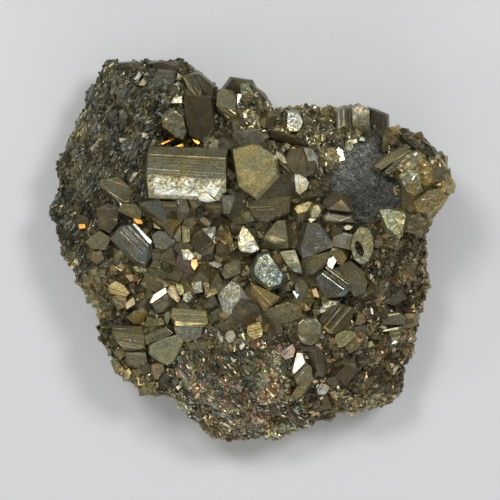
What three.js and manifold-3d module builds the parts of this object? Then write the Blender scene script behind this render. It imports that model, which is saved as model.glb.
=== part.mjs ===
// Pyrite specimen: a hand-sized cluster of intergrown pyrite crystals on pyrite matrix.
// Millimetres, +Z up. The origin is on the resting face, under the middle of the specimen.
// The crystals and the matrix grew as one piece, so they are joined into one solid.

import * as THREE from 'three';
import { ConvexGeometry } from 'three/addons/geometries/ConvexGeometry.js';
import { mergeVertices } from 'three/addons/utils/BufferGeometryUtils.js';
import Module from 'manifold-3d';

const wasm = await Module();
wasm.setup();

// ---------------------------------------------------------------- driving dimensions

// Seen from above, the rim where the matrix is widest: x, y, counter-clockwise from +X.
const RIM_OUTLINE = [
  [34.6, 0], [34.8, 5.4], [38.4, 10.6], [39.2, 15.6], [35.4, 20.6], [30.4, 23.0],
  [26.4, 25.2], [22.6, 28.4], [18.2, 27.6], [13.4, 27.6], [8.6, 28.6], [4.6, 29.2],
  [1.2, 32.2], [-2.4, 33.8], [-6.6, 32.4], [-10.4, 34.8], [-15.4, 38.0], [-21.6, 38.6],
  [-28.2, 38.2], [-30.8, 32.0], [-34.6, 24.6], [-38.2, 19.6], [-39.2, 13.4], [-39.8, 8.0],
  [-38.0, 2.0], [-35.6, -2.6], [-32.0, -8.0], [-30.4, -14.0], [-28.2, -19.6],
  [-26.4, -25.0], [-21.0, -27.6], [-15.4, -29.8], [-11.0, -33.4], [-7.6, -37.0],
  [-3.6, -38.4], [1.6, -37.4], [6.8, -36.8], [11.6, -34.4], [17.4, -32.4],
  [25.6, -31.4], [29.4, -28.4], [31.2, -22.6], [33.6, -15.6], [35.2, -8.0],
];

// The rim's height above the resting face changes slowly round the specimen.
const RIM_HEIGHT = 13;
const RIM_SWELL = 2.5;

// The underside draws in below the rim: [share of the rim's radius, share of its height].
const FLANK_PROFILE = [
  [0.985, 0.72],
  [0.94, 0.42],
  [0.88, 0.16],
  [0.83, 0.0],
];

// The top of the matrix is a plateau that carries low hills and hollows:
// [x, y, spread along x, spread along y, height].
const PLATEAU_HEIGHT = 20;
const HILLS = [
  [-10, 13, 11, 6, 3.0],
  [3, 14, 8, 7, 3.6],
  [-22, 30, 9, 8, 9.0],
  [-9, 32, 6, 4, 4.5],
  [30, 13, 8, 9, 8.0],
  [21, 25, 9, 4, 5.0],
  [2, -8, 20, 12, 2.2],
  [-3, -29, 9, 8, 5.5],
  [19, -26, 9, 7, 2.0],
  [-33, 13, 6, 13, -3.0],
  [-15, 22, 5, 2.5, -6.0],
  [-26, -10, 8, 10, -1.5],
];
const SHOULDER_POWER = 5;      // how sharply the plateau turns down to the rim
const SECTORS = 48;            // facets round the matrix
const TOP_RINGS = [0.2, 0.4, 0.58, 0.74, 0.88, 0.96];

const radians = THREE.MathUtils.degToRad;

function face(outline, height, tilt, bearing) {
  const middleX = outline.reduce((sum, [x]) => sum + x, 0) / outline.length;
  const middleY = outline.reduce((sum, [, y]) => sum + y, 0) / outline.length;
  const slope = Math.tan(radians(tilt));
  return outline.map(([x, y]) => {
    const along = (x - middleX) * Math.cos(radians(bearing))
      + (y - middleY) * Math.sin(radians(bearing));
    return [x, y, height - along * slope];
  });
}

// Each main crystal is the convex solid over its visible corners: x, y and the height above
// the matrix. face() gives the corners of a flat face from its outline seen from above, the
// height of its middle, its tilt off level and the compass bearing it tilts to, in degrees.
// Every crystal widens by ROOT_SPREAD down to its root, ROOT_DEPTH below the matrix.
const ROOT_DEPTH = 4;
const ROOT_SPREAD = 1;
const MAIN_CRYSTALS = [
  // the long striated bar and what it lies on
  ['bar', [[-20.2, 14.9, 5.4], [-4.7, 13.9, 5.4], [-19.9, 18.7, 5.7], [-4.7, 17.9, 5.7],
    [-19.4, 20.3, 4.1], [-4.5, 19.8, 4.1], [-19.8, 10.2, 1.9], [-6.2, 9.7, 1.9], [-4.6, 11.4, 3.3]]],
  ['bar_root', [[-17.4, 9.6, 1.9], [-5.4, 9.2, 1.9], [-5.8, 6.3, 0.3], [-16.6, 5.9, 0.2]]],
  ['bar_foot', [...face([[-21.3, 9.3], [-18, 10.2], [-16.8, 8.7], [-16.5, 5.4], [-18, 6],
    [-21, 8.7]], 2.6, 16, 250),
    [-22, 8.2, 0.8], [-17, 4.5, 0.6], [-22, 9.6, 1.4]]],
  ['bar_stop', [[-5.6, 10.6, 2.8], [-3.1, 10.8, 3], [-2.3, 8.2, 2], [-2.8, 7, 1.2], [-5.2, 7.2, 1.2]]],
  // the six-sided crystal beside the bar
  ['olive_hexagon', [[-3.4, 19.6, 5], [0.4, 20.6, 5.1], [2.2, 20.1, 5.1], [4.9, 18.4, 5],
    [5.2, 14.9, 4.8], [1, 10.3, 4.4], [-2.2, 12.5, 4.4], [-2.9, 16, 4.7], [5.8, 14.3, 4],
    [1.5, 9.7, 3.6]]],
  ['hexagon_skirt', [[5.6, 14.6, 3.8], [1.4, 10, 3.4], [7.6, 9.6, 1.2], [8.8, 13.2, 1.3],
    [7.6, 15.2, 1.9]]],
  ['pale_lip', [[-0.5, 8.7, 2.8], [2, 10.2, 3.2], [8, 10.6, 2.6], [7.8, 7.6, 2.1], [6.1, 6.9, 2.2],
    [2.4, 5.9, 2.1], [0.8, 6.6, 2.3], [6.3, 6.4, 1.5], [2.5, 5.1, 1.2], [0.8, 5.9, 1.2]]],
  ['bright_tip', [[8, 20, 1.2], [10.3, 20.3, 1.6], [6.6, 17.4, 2.3], [8.6, 14.9, 4], [11, 14.4, 4.3],
    [12.5, 15.4, 3.5], [13.4, 14.8, 2.8], [13.5, 18.5, 1.8], [12.3, 20.1, 1.1]]],
  ['white_tip', face([[8.6, 14.8], [9.7, 14.8], [11, 14.1], [11.6, 13.2], [11.2, 12], [9.8, 10.8],
    [9, 11.5]], 3.4, 37, 268)],
  ['tip_side', [[5.4, 17.6, 2.2], [6.8, 17, 2.4], [8.5, 14.7, 3.3], [9, 11.6, 1.2], [6.4, 12.4, 0.8]]],
  // across the middle
  ['teardrop', face([[-1.4, 4.8], [-0.6, 4.2], [0.6, 2.7], [1.8, 0.1], [0.3, -0.6], [-1.8, -0.2],
    [-2.4, 1.3], [-2.2, 2.9]], 3.5, 15, 128)],
  ['round_brown', [[-9.6, 4.2, 3.2], [-6.9, 1.1, 3], [-7.6, -1.5, 0.9], [-10.8, -1.5, 0.7],
    [-12.2, 1.6, 1.2], [-11, 3.6, 2.2]]],
  ['narrow_brown', [[-5.3, 4.9, 1.6], [-4.3, 4.8, 2.1], [-2.9, 0.2, 1.9], [-3.6, -0.4, 1.4],
    [-5.2, 1.8, 1.1]]],
  ['olive_wedge', [[3, 3.1, 3.2], [5.6, 2.6, 3.5], [7.5, 2, 3.3], [6.9, 5.9, 3.7], [5.3, 5.8, 3.7],
    [7.7, 0.3, 1.3], [4.6, 0.1, 1.1], [2.2, 0.5, 1.1]]],
  ['teal_block', [[0.9, -3.4, 4.4], [1.9, -1.4, 4], [3.4, -1.2, 3.7], [6.3, -4.9, 3.8],
    [5.9, -6.6, 4.1], [3.8, -7.3, 4.6], [1, -4.9, 4.7], [0.1, -3.6, 3.4], [1.5, -0.7, 3.4],
    [3.6, -0.6, 3.5], [7, -5, 3.3], [6.5, -7.1, 3], [3.7, -8.1, 2.6], [0.3, -5.6, 2.9]]],
  ['gold_step', [[0.2, -6.4, 2.6], [5.8, -9.2, 2.4], [5.6, -10.2, 1.8], [2.8, -12.2, 1.2],
    [0, -8.6, 1.8]]],
  ['sparkling_facet', [...face([[-3.6, -6.1], [-2, -7], [-1.9, -9.3], [-4.7, -12.8], [-5.6, -11.6],
    [-6.3, -9], [-5.2, -7.5]], 2.7, 29, 200),
    [0, -9.9, 2.4], [-2.4, -13.6, 1]]],
  ['dark_block', face([[-3.4, -12.4], [-1.6, -9.7], [1.6, -11], [2.6, -13.2], [-0.6, -15.6],
    [-3, -15.2]], 1.9, 30, 300)],
  ['small_olive', face([[-2.9, -1.8], [-1.8, -2.2], [-1.9, -4.6], [-4.8, -5.8], [-5.6, -4.6],
    [-5, -2.9]], 2.6, 6, 250)],
  ['ember', [[-13.7, 0.2, 2.3], [-12.2, 0.2, 2.4], [-10.6, -1.2, 2.3], [-10.8, -5.4, 0.6],
    [-13, -6.4, 0.3], [-15.2, -4.2, 0.4], [-14.4, -1.4, 1.6]]],
  ['ember_glow', face([[-11.6, -1.8], [-10.5, -1.8], [-10.2, -3], [-11, -4.1],
    [-11.7, -3.1]], 2.3, 17, 38)],
  ['mid_wedge', [[5.8, -0.3, 2], [8.9, 0.1, 2], [10, -3, 3], [7.4, -3.1, 3], [10.4, -4.9, 1.9],
    [8.6, -4.2, 2.4]]],
  ['white_grain', face([[9, -6.6], [10.4, -5.7], [11.5, -7.2], [11.4, -9.8], [9.9, -10],
    [9, -8.4]], 2.3, 24, 330)],
  ['mottled_low', face([[4.9, -11], [7.4, -10.3], [10, -11.1], [10.4, -12.8], [8.4, -14],
    [5.6, -14.6], [4.7, -12.8]], 2, 13, 300)],
  ['dark_wall', face([[2.4, -12], [4.6, -11.2], [5.6, -14.6], [6.6, -16.2], [3.8, -17],
    [2.8, -14.8]], 1.2, 32, 200)],
  // right of the middle
  ['rounded_prism', [...face([[11.9, 7.2], [12.5, 8.8], [13.5, 8.9], [14, 7.8], [13.4, 6.5],
    [12, 6.3]], 4.2, 8, 60),
    [11.5, 6.8, 3.2], [12.4, 9.2, 3.4], [13.8, 9.2, 3.4], [14.3, 7.8, 3.4], [13.5, 6.1, 3.5]]],
  ['grey_prism', [[11.4, 5.4, 3.3], [13.4, 5.3, 4.3], [12.4, -0.9, 3.9], [10.4, -1.7, 2.6],
    [10, 0.5, 2.6], [16.6, 0.7, 3.2], [8.8, 0.9, 1.2], [10.5, 5.3, 2.2], [15.2, 3.4, 3.5]]],
  ['brown_pyramid', [[14.2, 9.6, 0.8], [17.6, 12.5, 1.4], [18, 10, 2.8], [20.4, 7.4, 0.9],
    [15.2, 8, 1.5], [20, 10.2, 1.3]]],
  ['pale_strip', [[13.8, 6.9, 1.2], [15.5, 7.3, 1.6], [20, 6.6, 1.3], [20.6, 5.4, 0.8],
    [17.5, 5.7, 2.1], [15, 5.9, 2], [14.5, 5.1, 0.9]]],
  ['hopper_side', [[16.3, 2.6, 2.3], [18.5, 3.5, 2.9], [18.2, 0.4, 2.9], [16.2, 0.7, 2.2],
    [20.3, 3.1, 2.3], [20.2, 0, 2.1]]],
  ['white_stripes', [[13, -5.4, 2.6], [14.1, -4.4, 3.6], [17.3, -3.5, 4.5], [19.7, -7.7, 4.2],
    [18.6, -9.1, 3.1], [14.9, -9.6, 1.8], [13.1, -6.9, 1.9]]],
  ['stripes_face', face([[17.4, -3.5], [19.8, -2.2], [21, -3], [23.2, -6.2], [22.8, -8.6],
    [20.6, -9.2], [19.7, -7.8]], 3, 24, 345)],
  ['glint', face([[15, -3.7], [16, -4.1], [17.1, -2.1], [16.5, -1.2], [15.5, -1.7]], 4, 16, 38)],
  ['glint_back', face([[15.4, -0.2], [18.2, 0], [19.2, -1.6], [18.2, -3.2], [17.3, -2.8],
    [16.8, -1]], 2.4, 16, 320)],
  ['dark_wedge', [...face([[10.2, -2], [12.4, -1], [15.5, -0.3], [16, -1.2], [14.4, -3.6], [13, -4.5],
    [10.4, -3.7]], 2.3, 26, 230),
    [10.4, -5.8, 0.2], [13, -5.2, 0.6]]],
  ['pale_ridge', face([[13.3, -12.4], [14.4, -10.8], [15.6, -10], [17.8, -10.1], [17.2, -10.9],
    [15.2, -11.3], [14.2, -12.5]], 2.2, 20, 130)],
  ['brown_ribs', [...face([[13.7, -13.8], [15.4, -11.5], [17.6, -10.6], [20.5, -11.4], [20.3, -13],
    [18.8, -15.2], [16.6, -16.6]], 2.6, 22, 320),
    [14.3, -16.6, 1.4], [14, -15, 1.8]]],
  ['small_ribs', face([[17, -16.7], [18.6, -15.9], [20.2, -16.2], [20.4, -17.2], [18.6, -19],
    [17.6, -19.2], [16.8, -17.8]], 3, 12, 250)],
  ['small_ribs_side', face([[20.3, -16.7], [21.3, -17.6], [21.8, -19], [20.2, -20.4],
    [18.9, -19.4]], 2, 24, 300)],
  ['olive_round', [...face([[9.5, -14.6], [10.6, -13.7], [12.9, -13.6], [14, -14.8], [14.1, -16.4],
    [9.6, -16.6]], 3.2, 5, 275),
    [8.8, -15.5, 2.3], [10.2, -13.2, 2.8], [13.2, -13.2, 2.8], [14.5, -15.5, 2.4], [13.2, -18.3, 2.3],
    [12.2, -18.9, 2], [10.4, -18.6, 2], [9, -17.2, 2.2]]],
  ['amber', face([[21.4, -12.3], [22.4, -12.6], [22.9, -14.2], [21.9, -14.9],
    [20.8, -14.9]], 2.3, 12, 255)],
  ['amber_foot', face([[20.4, -15.4], [22.8, -14.8], [23, -16.5], [21.5, -17.1]], 1.9, 28, 300)],
  ['east_dome', face([[26.1, -13.7], [27.4, -12.6], [29.6, -12.4], [31.1, -13.6], [30.8, -14.9],
    [26, -15.1]], 1.9, 13, 260)],
  ['east_ribs', face([[26, -17.2], [26.6, -15.9], [30.2, -15.3], [30, -17.4], [29.3, -18.9],
    [27.2, -19]], 2.2, 12, 255)],
  // below the middle
  ['tall_block', face([[8.7, -24.9], [11.2, -22.3], [12.2, -23.2], [12.4, -25.6], [11.4, -27.2],
    [9.9, -27.1], [9, -25.8]], 3.8, 11, 330)],
  ['tall_step', face([[8.4, -28.6], [9.4, -27], [11.5, -27.3], [10.3, -28.7],
    [9.2, -29.4]], 2.6, 14, 230)],
  ['white_cap', face([[9.2, -20.2], [10.3, -20.3], [11, -22.3], [8.7, -24.5], [8.3, -23.9],
    [9.5, -22.3]], 3.6, 15, 128)],
  ['mauve_block', face([[5.7, -20.3], [8.4, -18.4], [9, -19.6], [8.6, -21],
    [6.9, -21.6]], 2.6, 17, 150)],
  ['brown_cone', [[11, -19.7, 1.8], [12.7, -19.4, 3.2], [13.3, -24.1, 2.8], [12.7, -24.8, 1.8],
    [14.6, -20.2, 1.6], [15.2, -23.6, 1], [14.6, -25.2, 0.8]]],
  ['grey_lump', face([[13.1, -27], [14.6, -25.8], [16, -25.4], [16.8, -26.6], [15, -28.8],
    [13.4, -28.7]], 1.7, 18, 60)],
  ['bead', [...face([[-4.8, -16.4], [-4.1, -15.8], [-3.2, -16], [-2.8, -16.9], [-3.2, -18],
    [-4.2, -18.3], [-4.9, -17.5]], 2.2, 9, 100),
    [-5.2, -17, 1.5], [-3.6, -15.4, 1.6], [-2.4, -17, 1.5], [-3.8, -18.7, 1.4]]],
  ['gold_bead', face([[-0.6, -15], [1.9, -14.1], [2.6, -15.8], [2.3, -17], [0.8, -17.6],
    [-0.4, -16.8]], 2.6, 13, 100)],
  ['brown_step', face([[-13.2, -20.4], [-9.6, -20.6], [-9.8, -22.8],
    [-13.2, -23.4]], 0.9, 14, 260)],
  ['orange_hexagon', face([[-19.6, -22.8], [-18.4, -22.5], [-17.3, -22.7], [-17, -23.9],
    [-18.2, -25.5], [-19, -25.6], [-19.6, -24.2]], 2.2, 7, 240)],
  ['yellow_grain', face([[-25.2, -24.2], [-24.2, -23.6], [-23.7, -24.6], [-24.2, -25.8],
    [-25.2, -25.8]], 1.6, 12, 128)],
  // left of the middle
  ['grey_top', face([[-19.5, 2.8], [-18.2, 3.8], [-15.8, 3.3], [-14.7, 1.7], [-15.4, 0.6],
    [-17, 0.1], [-18.8, 0.6]], 2.3, 11, 260)],
  ['olive_top', face([[-13.5, 4.9], [-11.9, 5], [-11.8, 1.7], [-13.3, 1.5]], 2.4, 6, 20)],
  ['barrel', [[-25.5, 4.7, 4], [-23.4, 4.7, 4.2], [-20, 1, 4.2], [-20.6, -2.6, 3.5],
    [-22.2, -2.3, 3.6], [-26.2, 2.2, 3.8], [-22.9, 5.2, 3.7], [-19.4, 1.4, 3.7], [-19.2, -1, 2.8],
    [-20.8, -3.6, 2.2], [-24, -1.8, 1.8], [-27.7, 2.3, 2.2]]],
  ['barrel_foot', face([[-20.4, -3.9], [-19, -1.6], [-17.8, -2.2], [-17.6, -4.6],
    [-19.4, -5.2]], 1.6, 22, 240)],
  ['olive_upper', [...face([[-29.6, 13.9], [-26.2, 14.4], [-24.6, 13.2], [-23.2, 11.6], [-24.1, 9.6],
    [-25.2, 9.7], [-28.6, 12]], 2.4, 19, 255),
    [-30, 12.6, 1.2], [-25.6, 8.8, 1]]],
  ['olive_small', face([[-25, 9.3], [-22.6, 9.1], [-21.4, 7.6], [-21.8, 5.8], [-24, 6.6],
    [-26.4, 8]], 2.3, 10, 255)],
  ['olive_lower', face([[-30.6, 8.2], [-28.4, 9.2], [-26.2, 8.6], [-26.4, 5.4], [-28, 3.4],
    [-30.2, 4.4]], 1.9, 14, 250)],
  ['west_ribs', face([[-33, 1.6], [-30, 3.8], [-27.8, 2.4], [-28.8, 0],
    [-31.4, 0.2]], 1.9, 9, 250)],
  ['west_brown', face([[-35, 6], [-33.6, 7], [-32.4, 6.4], [-32.2, 4.4],
    [-34.2, 4.2]], 1.2, 22, 240)],
  ['gold_layers', face([[-28.3, -7.2], [-26.8, -6.1], [-25.2, -7], [-24, -8.6], [-24.8, -9.4],
    [-26.6, -8.6], [-28, -8.6]], 2.5, 9, 60)],
  ['gold_curls', face([[-27.6, -9.2], [-26.2, -8.8], [-24.6, -9.6], [-24.8, -11.4], [-26.2, -12],
    [-27.2, -10.6]], 2, 20, 235)],
  ['gold_brown', [[-24.7, -13.5, 1], [-23.1, -12.2, 2.2], [-21, -11.4, 1.6], [-20.2, -12.7, 1.2],
    [-21.5, -14.7, 0.7], [-23.1, -14.8, 1.1]]],
  ['white_wedge', face([[-19.9, -10.4], [-19.1, -8.8], [-16.7, -7.3], [-16.4, -8.5],
    [-19.4, -10.6]], 2.9, 15, 128)],
  ['wedge_shadow', face([[-19.4, -10.7], [-16.4, -8.7], [-14, -10.7], [-15.5, -12],
    [-18.4, -12.6]], 2, 32, 290)],
  ['pale_wedge', face([[-16.5, -8.2], [-15.8, -6.9], [-14.8, -7.2], [-13.8, -9.6], [-14.2, -10.5],
    [-16.1, -8.9]], 2.7, 11, 45)],
  ['olive_block', [...face([[-15.2, -11.5], [-8.6, -12], [-8.3, -14.5], [-14.8, -14]], 3.2, 4, 260),
    [-9, -15.3, 2.2], [-14.8, -15.1, 2.2], [-15.9, -12.8, 2]]],
  ['green_flat', face([[-15, -15.2], [-9.4, -15.4], [-9.8, -17.2], [-12.6, -18.4],
    [-14.6, -16.6]], 1.9, 11, 270)],
  ['moss_ledge', face([[-12.6, -18.4], [-8.4, -18], [-7.8, -19.9], [-12, -19.9]], 1, 22, 270)],
  ['moss_flat', face([[-20.4, -13.2], [-18.6, -13.8], [-17.6, -15.2],
    [-20.9, -15.3]], 1.3, 12, 270)],
  ['west_block', [[-27.2, -15, 1.7], [-21.6, -15.2, 1.9], [-27.3, -16.3, 3], [-21, -17.1, 3.2],
    [-26.5, -18.2, 2.6], [-21, -19.2, 2.8], [-24.6, -20.3, 1], [-20.5, -20.3, 1.2]]],
  ['layered_olive', face([[-24.9, -20.5], [-20.8, -20.3], [-20.5, -22.4], [-22.2, -23.7],
    [-24.5, -22.9]], 1.6, 15, 250)],
  ['green_round', face([[-19.9, -18.9], [-17, -17.6], [-14.2, -16.7], [-13.2, -18.2],
    [-14.2, -19.8], [-15.2, -22.2], [-16.4, -22.8], [-18.2, -21.9], [-19.9, -20.6]], 2.7, 8, 255)],
  ['druse_white', face([[-14.6, -6.5], [-13.3, -7.1], [-13, -8.6], [-13.8, -9],
    [-14.6, -7.6]], 2, 15, 128)],
  ['druse_yellow', face([[-11.6, -6.4], [-9.6, -6.1], [-9.3, -8.3], [-11, -8.6]], 1.9, 14, 60)],
  // along the upper edge
  ['crest_face', face([[-19.8, 33.2], [-18, 35.5], [-15.4, 35.3], [-15.1, 33.2], [-15.8, 31.8],
    [-19.3, 31]], 2.4, 27, 110)],
  ['crest_slope', face([[-13.6, 34.4], [-10.2, 35.2], [-7.4, 32.6], [-7.6, 29.4], [-9.9, 28.8],
    [-12.4, 31.6]], 2, 33, 345)],
  ['crest_brown', face([[-13, 30.6], [-8, 30], [-7, 24.2], [-9.4, 21.4], [-12, 22.8],
    [-12.8, 26.4]], 1.2, 28, 330)],
  ['crest_back', face([[-19.8, 37.6], [-17.6, 37.8], [-14.4, 36.4], [-15.4, 35.2],
    [-18.6, 35.8]], 1.2, 30, 160)],
  ['crest_west', face([[-26.2, 37.4], [-23.2, 37.5], [-21.6, 35.6], [-23.6, 33.8],
    [-26.4, 34.4]], 1, 22, 215)],
  ['crest_lump', face([[-19.6, 30.4], [-16.6, 30.8], [-15.4, 29], [-17.4, 27.2],
    [-19.6, 28]], 1.5, 20, 240)],
  ['peak_ribs', [...face([[-6.6, 31], [-5.5, 31.8], [-3.5, 31.4], [-3, 30.2], [-2.9, 27.6],
    [-6.7, 29]], 3.4, 7, 290),
    [-2.3, 25.3, 2], [-3.4, 24.8, 1.7], [-6.4, 27.6, 2.5]]],
  ['peak_dark', [[-5, 32.6, 1.2], [-3.5, 34.5, 1.4], [-0.2, 34, 1.4], [0.5, 32.8, 0.8],
    [-2.2, 32.8, 3], [-1.6, 30.2, 2.4], [-3.1, 30.8, 2.2]]],
  ['peak_east', face([[0.3, 33.2], [2.4, 31.2], [3.6, 29.8], [2.2, 28.2],
    [0.2, 29.6]], 1.6, 30, 350)],
  ['overhang', face([[-17.4, 26.4], [-16.4, 27.5], [-15, 27.8], [-13.2, 26.4], [-12.6, 23.4],
    [-13.2, 21.9], [-14.6, 22.3], [-17.2, 24.4]], 3.4, 13, 280)],
  ['arc_band', [[4, 23.8, 1.6], [7.2, 22.9, 2], [10, 22.3, 1.9], [11.8, 20.6, 1.4], [11.2, 20.2, 0.6],
    [8.6, 21.5, 0.9], [4.2, 22.3, 0.9]]],
  ['arc_grey', face([[-3.6, 23.2], [0.2, 24], [3.8, 22.6], [2, 20.9], [-3, 20.8]], 1.9, 18, 255)],
  ['ridge_bright', face([[7.3, 24.4], [7.5, 27.4], [9.6, 27.4], [10.4, 25.4], [9.6, 23.6],
    [8, 23.6]], 3.2, 10, 60)],
  ['column_a', face([[17.4, 21.2], [17.2, 27.4], [18.8, 28.2], [20, 28],
    [19.9, 21]], 1.4, 26, 10)],
  ['column_b', face([[20.5, 21.6], [20.3, 27.8], [21.8, 28.6], [23.6, 27.4], [23.8, 22.6],
    [22.6, 21.4]], 2.4, 16, 260)],
  ['column_c', face([[24.1, 22.8], [24.2, 28.2], [25.6, 27.6], [27.4, 26.8], [27.5, 24.2],
    [25.4, 22.6]], 1.4, 30, 350)],
];

// The knob's crystals stand free of the hills, so their heights are from one shared level.
const KNOB_LEVEL = 27.5;
const KNOB_CRYSTALS = [
  ['knob', [[29.6, 21.6, -2.6], [33.2, 20.6, -2.4], [37, 16.8, -4.4], [37.7, 13.4, -4.8],
    [37.1, 10.9, -4.8], [34.8, 8.6, -3.6], [31.4, 8.8, -2], [29.6, 12.4, -0.6], [32.4, 16.4, 0.4],
    [35.4, 13.4, -0.6], [28.8, 18.4, -0.8], [35, 17.2, -1], [28.6, 22.8, -10], [33.4, 21.2, -13],
    [36.4, 17.2, -17], [37, 13.4, -18], [36.2, 10.4, -17], [34.2, 8, -14], [30.4, 8, -10]]],
  ['knob_ridge', face([[29.8, 22.6], [32.4, 22.6], [35.6, 20.4], [36.4, 18.6], [34.4, 18.8],
    [31.4, 20.8]], -1.4, 28, 60)],
  ['knob_side', face([[35.2, 18.6], [37.4, 17.8], [38.9, 15.2], [38.2, 12.6], [36.2, 12.8],
    [35, 15.6]], -1.8, 24, 350)],
  ['knob_tan', face([[34.8, 11.6], [37, 12], [38.6, 10.6], [37, 8.6], [35.2, 7.4], [33, 7.8],
    [32.2, 9.4]], -1.6, 20, 290)],
  ['flake_a', face([[24.3, 16.4], [26.8, 18.4], [30.4, 20.6], [31.4, 20], [28.8, 17.7],
    [26, 15.9]], 0.9, 10, 250)],
  ['flake_c', face([[28.6, 16.2], [30.6, 18.6], [32.6, 19.4], [34.4, 18.2], [33.4, 15.6],
    [30.2, 14.8]], 1.4, 8, 265)],
  ['flake_d', face([[32.2, 16.4], [34, 17.8], [35.8, 16.4], [36, 13.4], [34.4, 12.4],
    [32.6, 13.6]], 1.2, 14, 250)],
  ['flake_e', face([[29, 14.6], [31, 16], [33.4, 15.2], [33.6, 12.4], [32, 10.9], [30.6, 11.6],
    [30.2, 13.2]], 1.5, 7, 230)],
  ['knob_chip_a', face([[25.5, 7.9], [27.3, 8.1], [28.4, 6.6], [29.6, 3.6], [28.9, 2.9], [27, 4.4],
    [27.4, 6]], -1.6, 3, 200)],
  ['chip_foot', face([[31, 6.6], [33.4, 7.2], [35.2, 5.2], [33.6, 3.6],
    [31.4, 4.2]], -3.4, 20, 250)],
];
// The crystals round the knob's outer side, with heights from a lower level.
const WALL_LEVEL = 16;
const WALL_CRYSTALS = [
  ['wall_north', [[28.6, 22.6, 7.4], [31.6, 22.8, 7], [32.6, 20.8, 8.4], [29.4, 20.6, 8.6]]],
  ['wall_north_east', [[32, 21.6, 6.8], [34.8, 21, 6], [36.2, 18.6, 6.4], [34, 18.2, 7.6]]],
  ['wall_upper_east', [[36, 19, 3.6], [37.9, 17.4, 4.2], [38.5, 14.8, 5.2], [36.8, 14.4, 6.4],
    [35.6, 17.8, 6.2]]],
  ['wall_east', [[36.8, 14.9, 5], [38.6, 14.2, 3.2], [38.7, 11.8, 2.6], [37.4, 10.8, 4.4]]],
  ['wall_lower_east', [[36.4, 12, 6.6], [37.9, 11.2, 5.6], [37.2, 8.9, 5.4], [35.2, 9, 6.8]]],
  ['wall_south_east', [[34.9, 9.4, 6.4], [36.3, 8, 4.4], [34.6, 6.6, 4], [32.8, 8.2, 6.4]]],
  ['wall_foot', [[37.2, 17.2, 0.6], [38.3, 15.8, 0.2], [38.4, 13, -0.4], [36.9, 13.4, 1]]],
  ['wall_step', [[34, 21.9, 1.6], [36, 20.6, 1], [36.2, 18.9, 1.8], [34, 19.6, 3]]],
];

// A hollow crystal east of the middle: the corners of its rim, and of the pit sunk into it.
const HOLLOW_RIM = [
  [20.4, 3.0], [21.7, 4.5], [23.3, 4.2], [24.3, 2.3], [24.2, -0.2], [23.4, -2.2],
  [21.9, -2.8], [20.5, -1.8], [19.9, 0.6],
];
const HOLLOW_PIT = [
  [20.7, 1.6], [21.2, 1.9], [21.8, 1.4], [22.3, 0.6], [22.5, -0.3], [22.3, -1.2],
  [21.7, -1.2], [21.1, -0.6], [20.7, 0.4],
];
const HOLLOW_HEIGHT = 3.1;
const PIT_DEPTH = 2.2;

// Smaller crystals fill the ground between the main ones and the flanks: cubes, and cubes
// with their corners cut by octahedron faces this many half-widths out.
const CORNER_CUT = 2.3;
const FILLER_SEED = 11;
const FILLER_SIZE = [1.0, 2.1];       // half-width, least and most
const FILLER_MAX_LEAN = 50;           // degrees
const FILLER_CUT_SHARE = 0.3;         // of them, with their corners cut
const TOP_FILLERS = 56;
const FILLER_REACH = 0.97;            // share of the rim's radius where they still grow
const FILLER_RISE = 0.2;              // of their middles over the matrix
const FILLER_CLEARANCE = 0.8;         // of a main crystal's reach
const FLANK_FILLERS = 30;
const FLANK_JITTER = 0.6;             // of the gap between two of them, round the flank
const FLANK_HEIGHTS = [0.35, 0.95];   // shares of the rim's height
const FLANK_RADII = [0.9, 0.96];      // shares of the rim's radius, at the foot and the rim
const GOLDEN_ANGLE = Math.PI * (3 - Math.sqrt(5));

// ---------------------------------------------------------------- the matrix

const rimPoints = RIM_OUTLINE
  .map(([x, y]) => ({ angle: Math.atan2(y, x), radius: Math.hypot(x, y) }))
  .sort((a, b) => a.angle - b.angle);

function rimRadius(angle) {
  const turn = 2 * Math.PI;
  let last = rimPoints[rimPoints.length - 1];
  let lastAngle = last.angle - turn;
  for (const point of [...rimPoints, { ...rimPoints[0], angle: rimPoints[0].angle + turn }]) {
    if (angle <= point.angle) {
      const share = (angle - lastAngle) / (point.angle - lastAngle);
      return last.radius + share * (point.radius - last.radius);
    }
    last = point;
    lastAngle = point.angle;
  }
  return last.radius;
}

function rimHeight(angle) {
  return RIM_HEIGHT + RIM_SWELL * Math.sin(2 * angle + 0.6);
}

function hillHeight(x, y) {
  let height = PLATEAU_HEIGHT;
  for (const [hillX, hillY, spreadX, spreadY, rise] of HILLS) {
    const u = (x - hillX) / spreadX;
    const v = (y - hillY) / spreadY;
    height += rise * Math.exp(-0.5 * (u * u + v * v));
  }
  return height;
}

function topHeight(x, y) {
  const angle = Math.atan2(y, x);
  const share = Math.min(1, Math.hypot(x, y) / rimRadius(angle));
  const shoulder = 1 - share ** SHOULDER_POWER;
  const rim = rimHeight(angle);
  return rim + (hillHeight(x, y) - rim) * shoulder;
}

function ringPoints(radiusShare, heightAt) {
  const points = [];
  for (let i = 0; i < SECTORS; i += 1) {
    const angle = -Math.PI + (2 * Math.PI * i) / SECTORS;
    const radius = rimRadius(angle) * radiusShare;
    const x = radius * Math.cos(angle);
    const y = radius * Math.sin(angle);
    points.push([x, y, heightAt(x, y, angle)]);
  }
  return points;
}

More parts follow.
